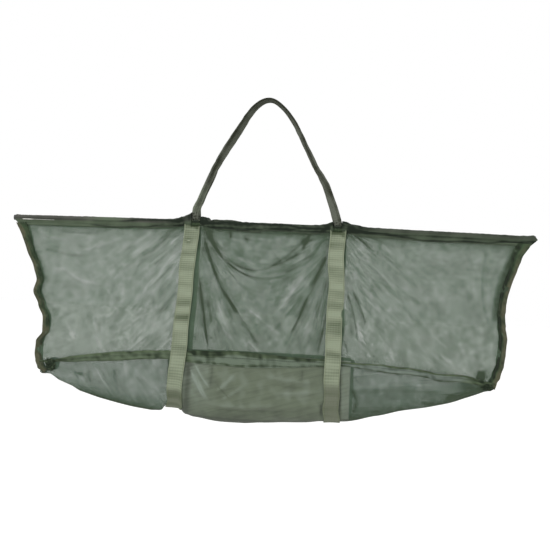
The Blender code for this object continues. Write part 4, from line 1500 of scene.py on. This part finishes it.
def band_point(side, x, down, out):
    """A place on the band, down from the seam, or above it where down is below 0."""
    above = on_side(side, x, 1 - side_share(x, np.maximum(0, -down)), out)
    turn = trough_turn(x, np.maximum(down, 0.0))
    below = on_trough(x, side * turn, out)
    return np.where((down < 0)[:, None], above, below)


def between_straps(x):
    """1 on the seam band between the straps and 0 outside them."""
    return eased((0.165 - np.abs(x + 0.005)) / 0.03)


def band_shade(x, part, width, lip, lower, rough, fine):
    """How dark the band is at a place, and how much of its paler face shows."""
    middle = between_straps(x)
    right = eased((x - 0.17) / 0.03)
    left = eased((-0.17 - x) / 0.03)
    corner = eased((np.abs(x) - 0.44) / 0.05)
    soft = 0.50 * left + 0.38 * right + 0.24
    # The rolled lip is darkened, partly the binding's own dark edge and partly painted shade
    gather_and_shade = (0.85 - soft) * lip + (0.56 - 0.6 * soft) * lower + 0.14 * rough
    gather_and_shade = gather_and_shade + 0.16 * fine + 0.30 * left * bump((part - 0.55) * width, 0.0022)
    gather_and_shade = gather_and_shade + 0.35 * corner + 0.8 * bump(x - BAND_KNOT, 0.007) * bump(part - 0.85, 0.3)
    tint = (right + 0.52 * middle + 0.15 * left) * (1 - corner) * (1 - lip)
    return gather_and_shade, tint * (1 - np.clip(lower, 0, 1))


def band_lay(side, x, part):
    """Lays a seam band: part is 0 at its rolled upper lip and 1 at its lower edge."""
    top, drop = band_edges(side, x)
    width = top + drop
    rough = ripples(x, part * 0.02, 0.045, 156 + side)
    fine = ripples(x, part * 0.02, 0.014, 161 + side)
    middle = between_straps(x)
    lip_wide = 0.0034 + 0.0062 * middle * eased((0.15 - x) / 0.25) + 0.001 * middle
    lip_wide = lip_wide * (1 + 0.05 * fine + 0.22 * rough)
    lip = bump(np.maximum(0, part * width - 0.7 * lip_wide), 0.5 * lip_wide)
    wander = 0.93 - 0.05 * (1 + rough) * middle
    lower = bump((part - wander) * width, 0.0019 + 0.0012 * middle) * (0.62 + 0.35 * fine)
    lower = lower * (1 - 0.6 * middle * eased((x + 0.02) / 0.06))
    out = BAND_OUT + 0.0018 * lip + 0.0004 * (1 + rough) + 0.0003 * fine
    points = band_point(side, x, blend(-top, drop, part) + 0.0006 * rough, out)
    gather_and_shade, tint = band_shade(x, part, width, lip, lower, rough, fine)
    marks = {"gather_and_shade": gather_and_shade, "tint": tint} | creasing(3 * part * width, x, 0.8)
    return points, (x, part * width), marks


def seam_band(side):
    """The folded binding along a side seam: a dark rolled lip, a flat face and a dark hem."""
    name = f"{SIDE_NAMES[side]}_seam_band"
    columns, rows = spread(-CORNER_X, CORNER_X, BAND_STEPS[0]), spread(0, 1, BAND_STEPS[1])
    lay, facing = partial(band_lay, side), (0, side, 0)
    piece = cloth(f"{name}_cloth", columns, rows, lay, BAND, facing, TAPE_THICKNESS)
    bend(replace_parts(piece, name))
    x = spread(-0.50, 0.50, 160)
    tops, drops = band_edges(side, x)
    sewn = [blend(-tops, drops, part) for part in (0.42, 0.88)]
    lines = [band_point(side, x, down, BAND_STITCH_OUT) for down in sewn]
    bend(stitches(f"{name}_stitching", lines, THREAD))


def bunch(name, side, centre, size, seed):
    """A crumpled scrap of band cloth caught in a seam near a bottom corner, dark in the middle."""

    def lay(across, down):
        u, v = across * 0.02, down * 0.02
        x = centre[0] + size[0] * across * np.sqrt(1 - 0.5 * down**2)
        z = centre[1] - size[1] * down * np.sqrt(1 - 0.5 * across**2)
        x = x + 0.0014 * ripples(u, v, 0.014, seed)
        z = z + 0.0014 * ripples(u, v, 0.014, seed + 1)
        crumple = ripples(u, v, 0.010, seed + 2)
        edge = np.maximum(np.abs(across), np.abs(down))
        out = 0.0035 + (0.0022 + 0.0016 * crumple) * (1 - edge**4)
        share = (pole_z(x) - z) / (pole_z(x) - seam_z(x))
        points = on_side(side, x, np.minimum(share, 1.0), out)
        points[:, 2] = z
        return points, (x, z), {"gather_and_shade": 1.05 + 0.35 * crumple - 0.35 * edge**2}

    steps, facing = spread(-1, 1, BUNCH_STEPS), (0, side, 0)
    piece = cloth(name, steps, steps, lay, BAND, facing, TUCK_THICKNESS)
    bend(piece)


def inner_tape(side, end):
    """Half of the tape inside the pouch over a seam between the nylon and a mesh end."""
    name = f"{END_NAMES[end]}_inner_seam_tape"
    middle = end * NYLON_HALF_LENGTH

    def lay(x, share):
        points, _ = trough_point(side, x, math.radians(90) * (1 - share), -INNER_TAPE_IN)
        return points, (x, share * BASE_ARC), {"gather_and_shade": 0.05}

    half = INNER_TAPE_WIDTH / 2
    columns = spread(middle - half, middle + half, INNER_TAPE_STEPS[0])
    rows = spread(0.02, 1, INNER_TAPE_STEPS[1])
    facing, thickness = (0, -side, 0), INNER_TAPE_THICKNESS
    piece = cloth(f"{name}_{SIDE_NAMES[side]}_cloth", columns, rows, lay, TAPE, facing, thickness)
    if side == FRONT:
        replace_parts(piece, name)
    bend(piece)


# Handles


def handle_centre(side, place):
    """The middle line of a handle: place -1 at its left foot, 0 at the crown, 1 at the right foot."""
    fullness = np.where(place < 0, LEFT_LEG_FULLNESS, RIGHT_LEG_FULLNESS)
    crown = math.radians(through(TWIST_PLACES, TWIST_ANGLES, 0.0))
    crown_z = -(WEBBING_WIDTH * math.cos(crown) + WEBBING_THICKNESS * math.sin(crown)) / 2
    foot_z = pole_z(HANDLE_FOOT_X) + EYE_RADIUS + 0.0012
    top, foot = CROWN_ROUNDING**fullness, math.hypot(1.0, CROWN_ROUNDING) ** fullness
    down = (np.hypot(place, CROWN_ROUNDING) ** fullness - top) / (foot - top)
    y = side * blend(HANDLE_CROWN_Y, POLE_Y, down)
    x = place * HANDLE_FOOT_X + through(HANDLE_LEAN_PLACES, HANDLE_LEANS, place) / 1e3
    return np.column_stack([x, y, blend(crown_z, foot_z, down)])


def unit(vectors):
    """The vectors, each made one long."""
    return vectors / np.linalg.norm(vectors, axis=1)[:, None]


def handle_frame(side, place):
    """The handle's middle line, and the directions across its width and through it."""
    centre = handle_centre(side, place)
    step = 0.01
    before = handle_centre(side, np.maximum(place - step, -1.0))
    along = unit(handle_centre(side, np.minimum(place + step, 1.0)) - before)
    root = eased((1 - np.abs(place)) * POLE_DROP / LEG_ROOT)[:, None]
    up = np.zeros_like(centre)
    up[:, 2] = np.where(place < 0, 1, -1)
    along = unit(blend(up, along, root))
    flat = unit(np.cross(along, [0.0, 1.0, 0.0]))
    twist = np.radians(through(TWIST_PLACES, TWIST_ANGLES, place))[:, None]
    wide = flat * np.cos(twist) + np.array([0, side, 0]) * np.sin(twist)
    return centre, wide, unit(np.cross(along, wide))


def folded_webbing(across, place):
    """Where a place across the handle's webbing lies: it is folded over along one edge."""
    width = WEBBING_WIDTH * through(HANDLE_SHARE_PLACES, HANDLE_SHARES, place)
    radius = 0.0013
    run = (across + 1) / 2 * WEBBING_WIDTH
    around = np.clip((run - width) / radius, 0, math.pi)
    over = np.maximum(0.0, run - width - math.pi * radius)
    aside = np.minimum(run, width) - width / 2 + radius * np.sin(around) - over
    return aside, radius * (1 - np.cos(around)) - 0.5 * radius, width


def handle(side):
    """A handle's webbing, twisted and folded over along one edge, with its eyes and stitches."""
    name = f"{SIDE_NAMES[side]}_handle"
    places = np.sin(np.radians(spread(-90, 90, HANDLE_STEPS[1])))
    run = run_along(handle_centre(side, places))

    def lay(across, place):
        centre, wide, thick = handle_frame(side, place)
        length = np.interp(place, places, run)
        aside, through_it, width = folded_webbing(across, place)
        above_foot = eased((1 - np.abs(place)) / 0.12)
        curl = 0.0012 * ((2 * aside / width) ** 2 - 0.4) * above_foot
        wave = 0.0006 * ripples(length, 0 * length, 0.06, 170 + side) * above_foot
        through_it = through_it * (0.3 + 0.7 * above_foot)
        facing = np.where(thick[:, 1] * side < 0, -1.0, 1.0)
        points = centre + wide * aside[:, None]
        points += thick * (facing * (through_it + curl) + wave)[:, None]
        edge = eased((across - 0.25) / 0.3)
        # Near the feet the legs are painted paler: painted light
        pale = 0.40 * eased((np.abs(place) - 0.80) / 0.12)
        mottle = 0.14 * ripples(length, across * 0.01, 0.05, 172 + side)
        knot = eased((np.abs(place) - 0.955) / 0.02)
        speckle = knot * 0.6 * ripples(length, across * 0.012, 0.005, 174 + side)
        shade = 0.05 + 0.55 * edge - pale + 0.42 * bump(place, 0.22) + mottle + speckle
        cut = (length, across * WEBBING_WIDTH / 2)
        # Painted light on the left leg near its foot
        painted_light_foot = 0.8 * eased((-place - 0.80) / 0.08) * (1 - knot)
        return points, cut, {"gather_and_shade": shade, "tint": painted_light_foot}

    columns, facing = spread(-1, 1, HANDLE_STEPS[0]), (0, 0, 1)
    strip = cloth(f"{name}_webbing", columns, places, lay, HANDLE, facing, HANDLE_THICKNESS)
    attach(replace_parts(strip, name), name)
    zigzags = []
    for end in (LEFT, RIGHT):
        handle_eye(side, end)
        zigzags += eye_zigzags(side, end)
    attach(stitches(f"{name}_stitching", zigzags, THREAD, radius=0.0007), name)


def round_pole(side, angle, radius):
    """The Y and Z of a place round a pole, at a handle's foot."""
    y = side * POLE_Y + radius * np.sin(angle)
    return y, pole_z(HANDLE_FOOT_X) + radius * np.cos(angle)


def handle_eye(side, end):
    """The eye of webbing at a handle's foot, round the bare pole."""
    name = f"{SIDE_NAMES[side]}_handle"
    middle = end * HANDLE_FOOT_X

    def lay(x, angle):
        radius = EYE_RADIUS + 0.0002 * ripples(x, angle * 0.006, 0.01, 180)
        height = np.cos(angle)
        low = eased((0.75 - height) / 0.25)
        speckle = 0.45 * ripples(x, angle * 0.006, 0.004, 181 + end)
        # Below the pole the eye takes painted shade
        under = 0.30 + 0.70 * bump(height - 0.28, 0.30) + 0.4 * speckle
        shade = blend((0.20 if end == LEFT else 0.75) + speckle, under, low)
        points = np.column_stack([x, *round_pole(side, angle, radius)])
        return points, (angle * radius, x - middle), {"gather_and_shade": shade, "tint": low}

    columns = spread(middle - EYE_HALF_WIDTH, middle + EYE_HALF_WIDTH, EYE_STEPS[0])
    rows, facing = spread(0, math.tau, EYE_STEPS[1]), (0, 0, 1)
    title = f"{name}_{END_NAMES[end]}_eye_webbing"
    eye = cloth(title, columns, rows, lay, EYE, facing, EYE_THICKNESS)
    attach(eye, name)


def eye_zigzags(side, end):
    """Two zigzag lines of stitches that cross each other on top of an eye."""
    angle = spread(0.64, 1.02, 6)
    zigzag = np.where(np.arange(7) % 2, 1.0, -1.0) * (EYE_HALF_WIDTH - 0.002)
    y, z = round_pole(side, side * angle, EYE_RADIUS + 0.0014)
    middle = end * HANDLE_FOOT_X
    return [np.column_stack([middle + way * zigzag, y, z]) for way in (-1, 1)]


def repaint(ending, material):
    """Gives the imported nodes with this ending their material."""
    for name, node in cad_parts.items():
        if name.endswith(ending):
            node.data.materials.clear()
            node.data.materials.append(material)


make_camera()
make_light()
make_floor()
for side in (FRONT, BACK):
    mesh_panel(side)
    # The back left sleeve starts a little further from the handle, clear of its folded leg
    clear_of_leg = 0.0 if side == FRONT else 0.0012
    selvedge = [hem_selvedge()] if side == FRONT else []
    hem(side, "left", -HEM_TIP, -HEM_STARTS - clear_of_leg)
    hem(side, "middle", -HEM_ENDS, HEM_ENDS)
    hem(side, "right", HEM_STARTS, HEM_TIP)
    hem_stitching(side)
    for end in (LEFT, RIGHT):
        strap(side, end)
        binding(side, end)
        gusset(side, end)
    base_half(side, "base_centre_panel", -NYLON_HALF_LENGTH, NYLON_HALF_LENGTH, NYLON_COLUMNS)
    base_half(side, "base_left_end", -CORNER_X, -NYLON_HALF_LENGTH, BASE_END_COLUMNS)
    base_half(side, "base_right_end", NYLON_HALF_LENGTH, CORNER_X, BASE_END_COLUMNS)
    seam_band(side)
    handle(side)
    for name, centre, size, seed in CORNER_BUNCHES:
        bunch(f"{SIDE_NAMES[side]}_{name}", side, centre, size, seed)
for end in (LEFT, RIGHT):
    for side in (FRONT, BACK):
        inner_tape(side, end)
repaint("_pole", ROD)
repaint("_cap", VINYL)
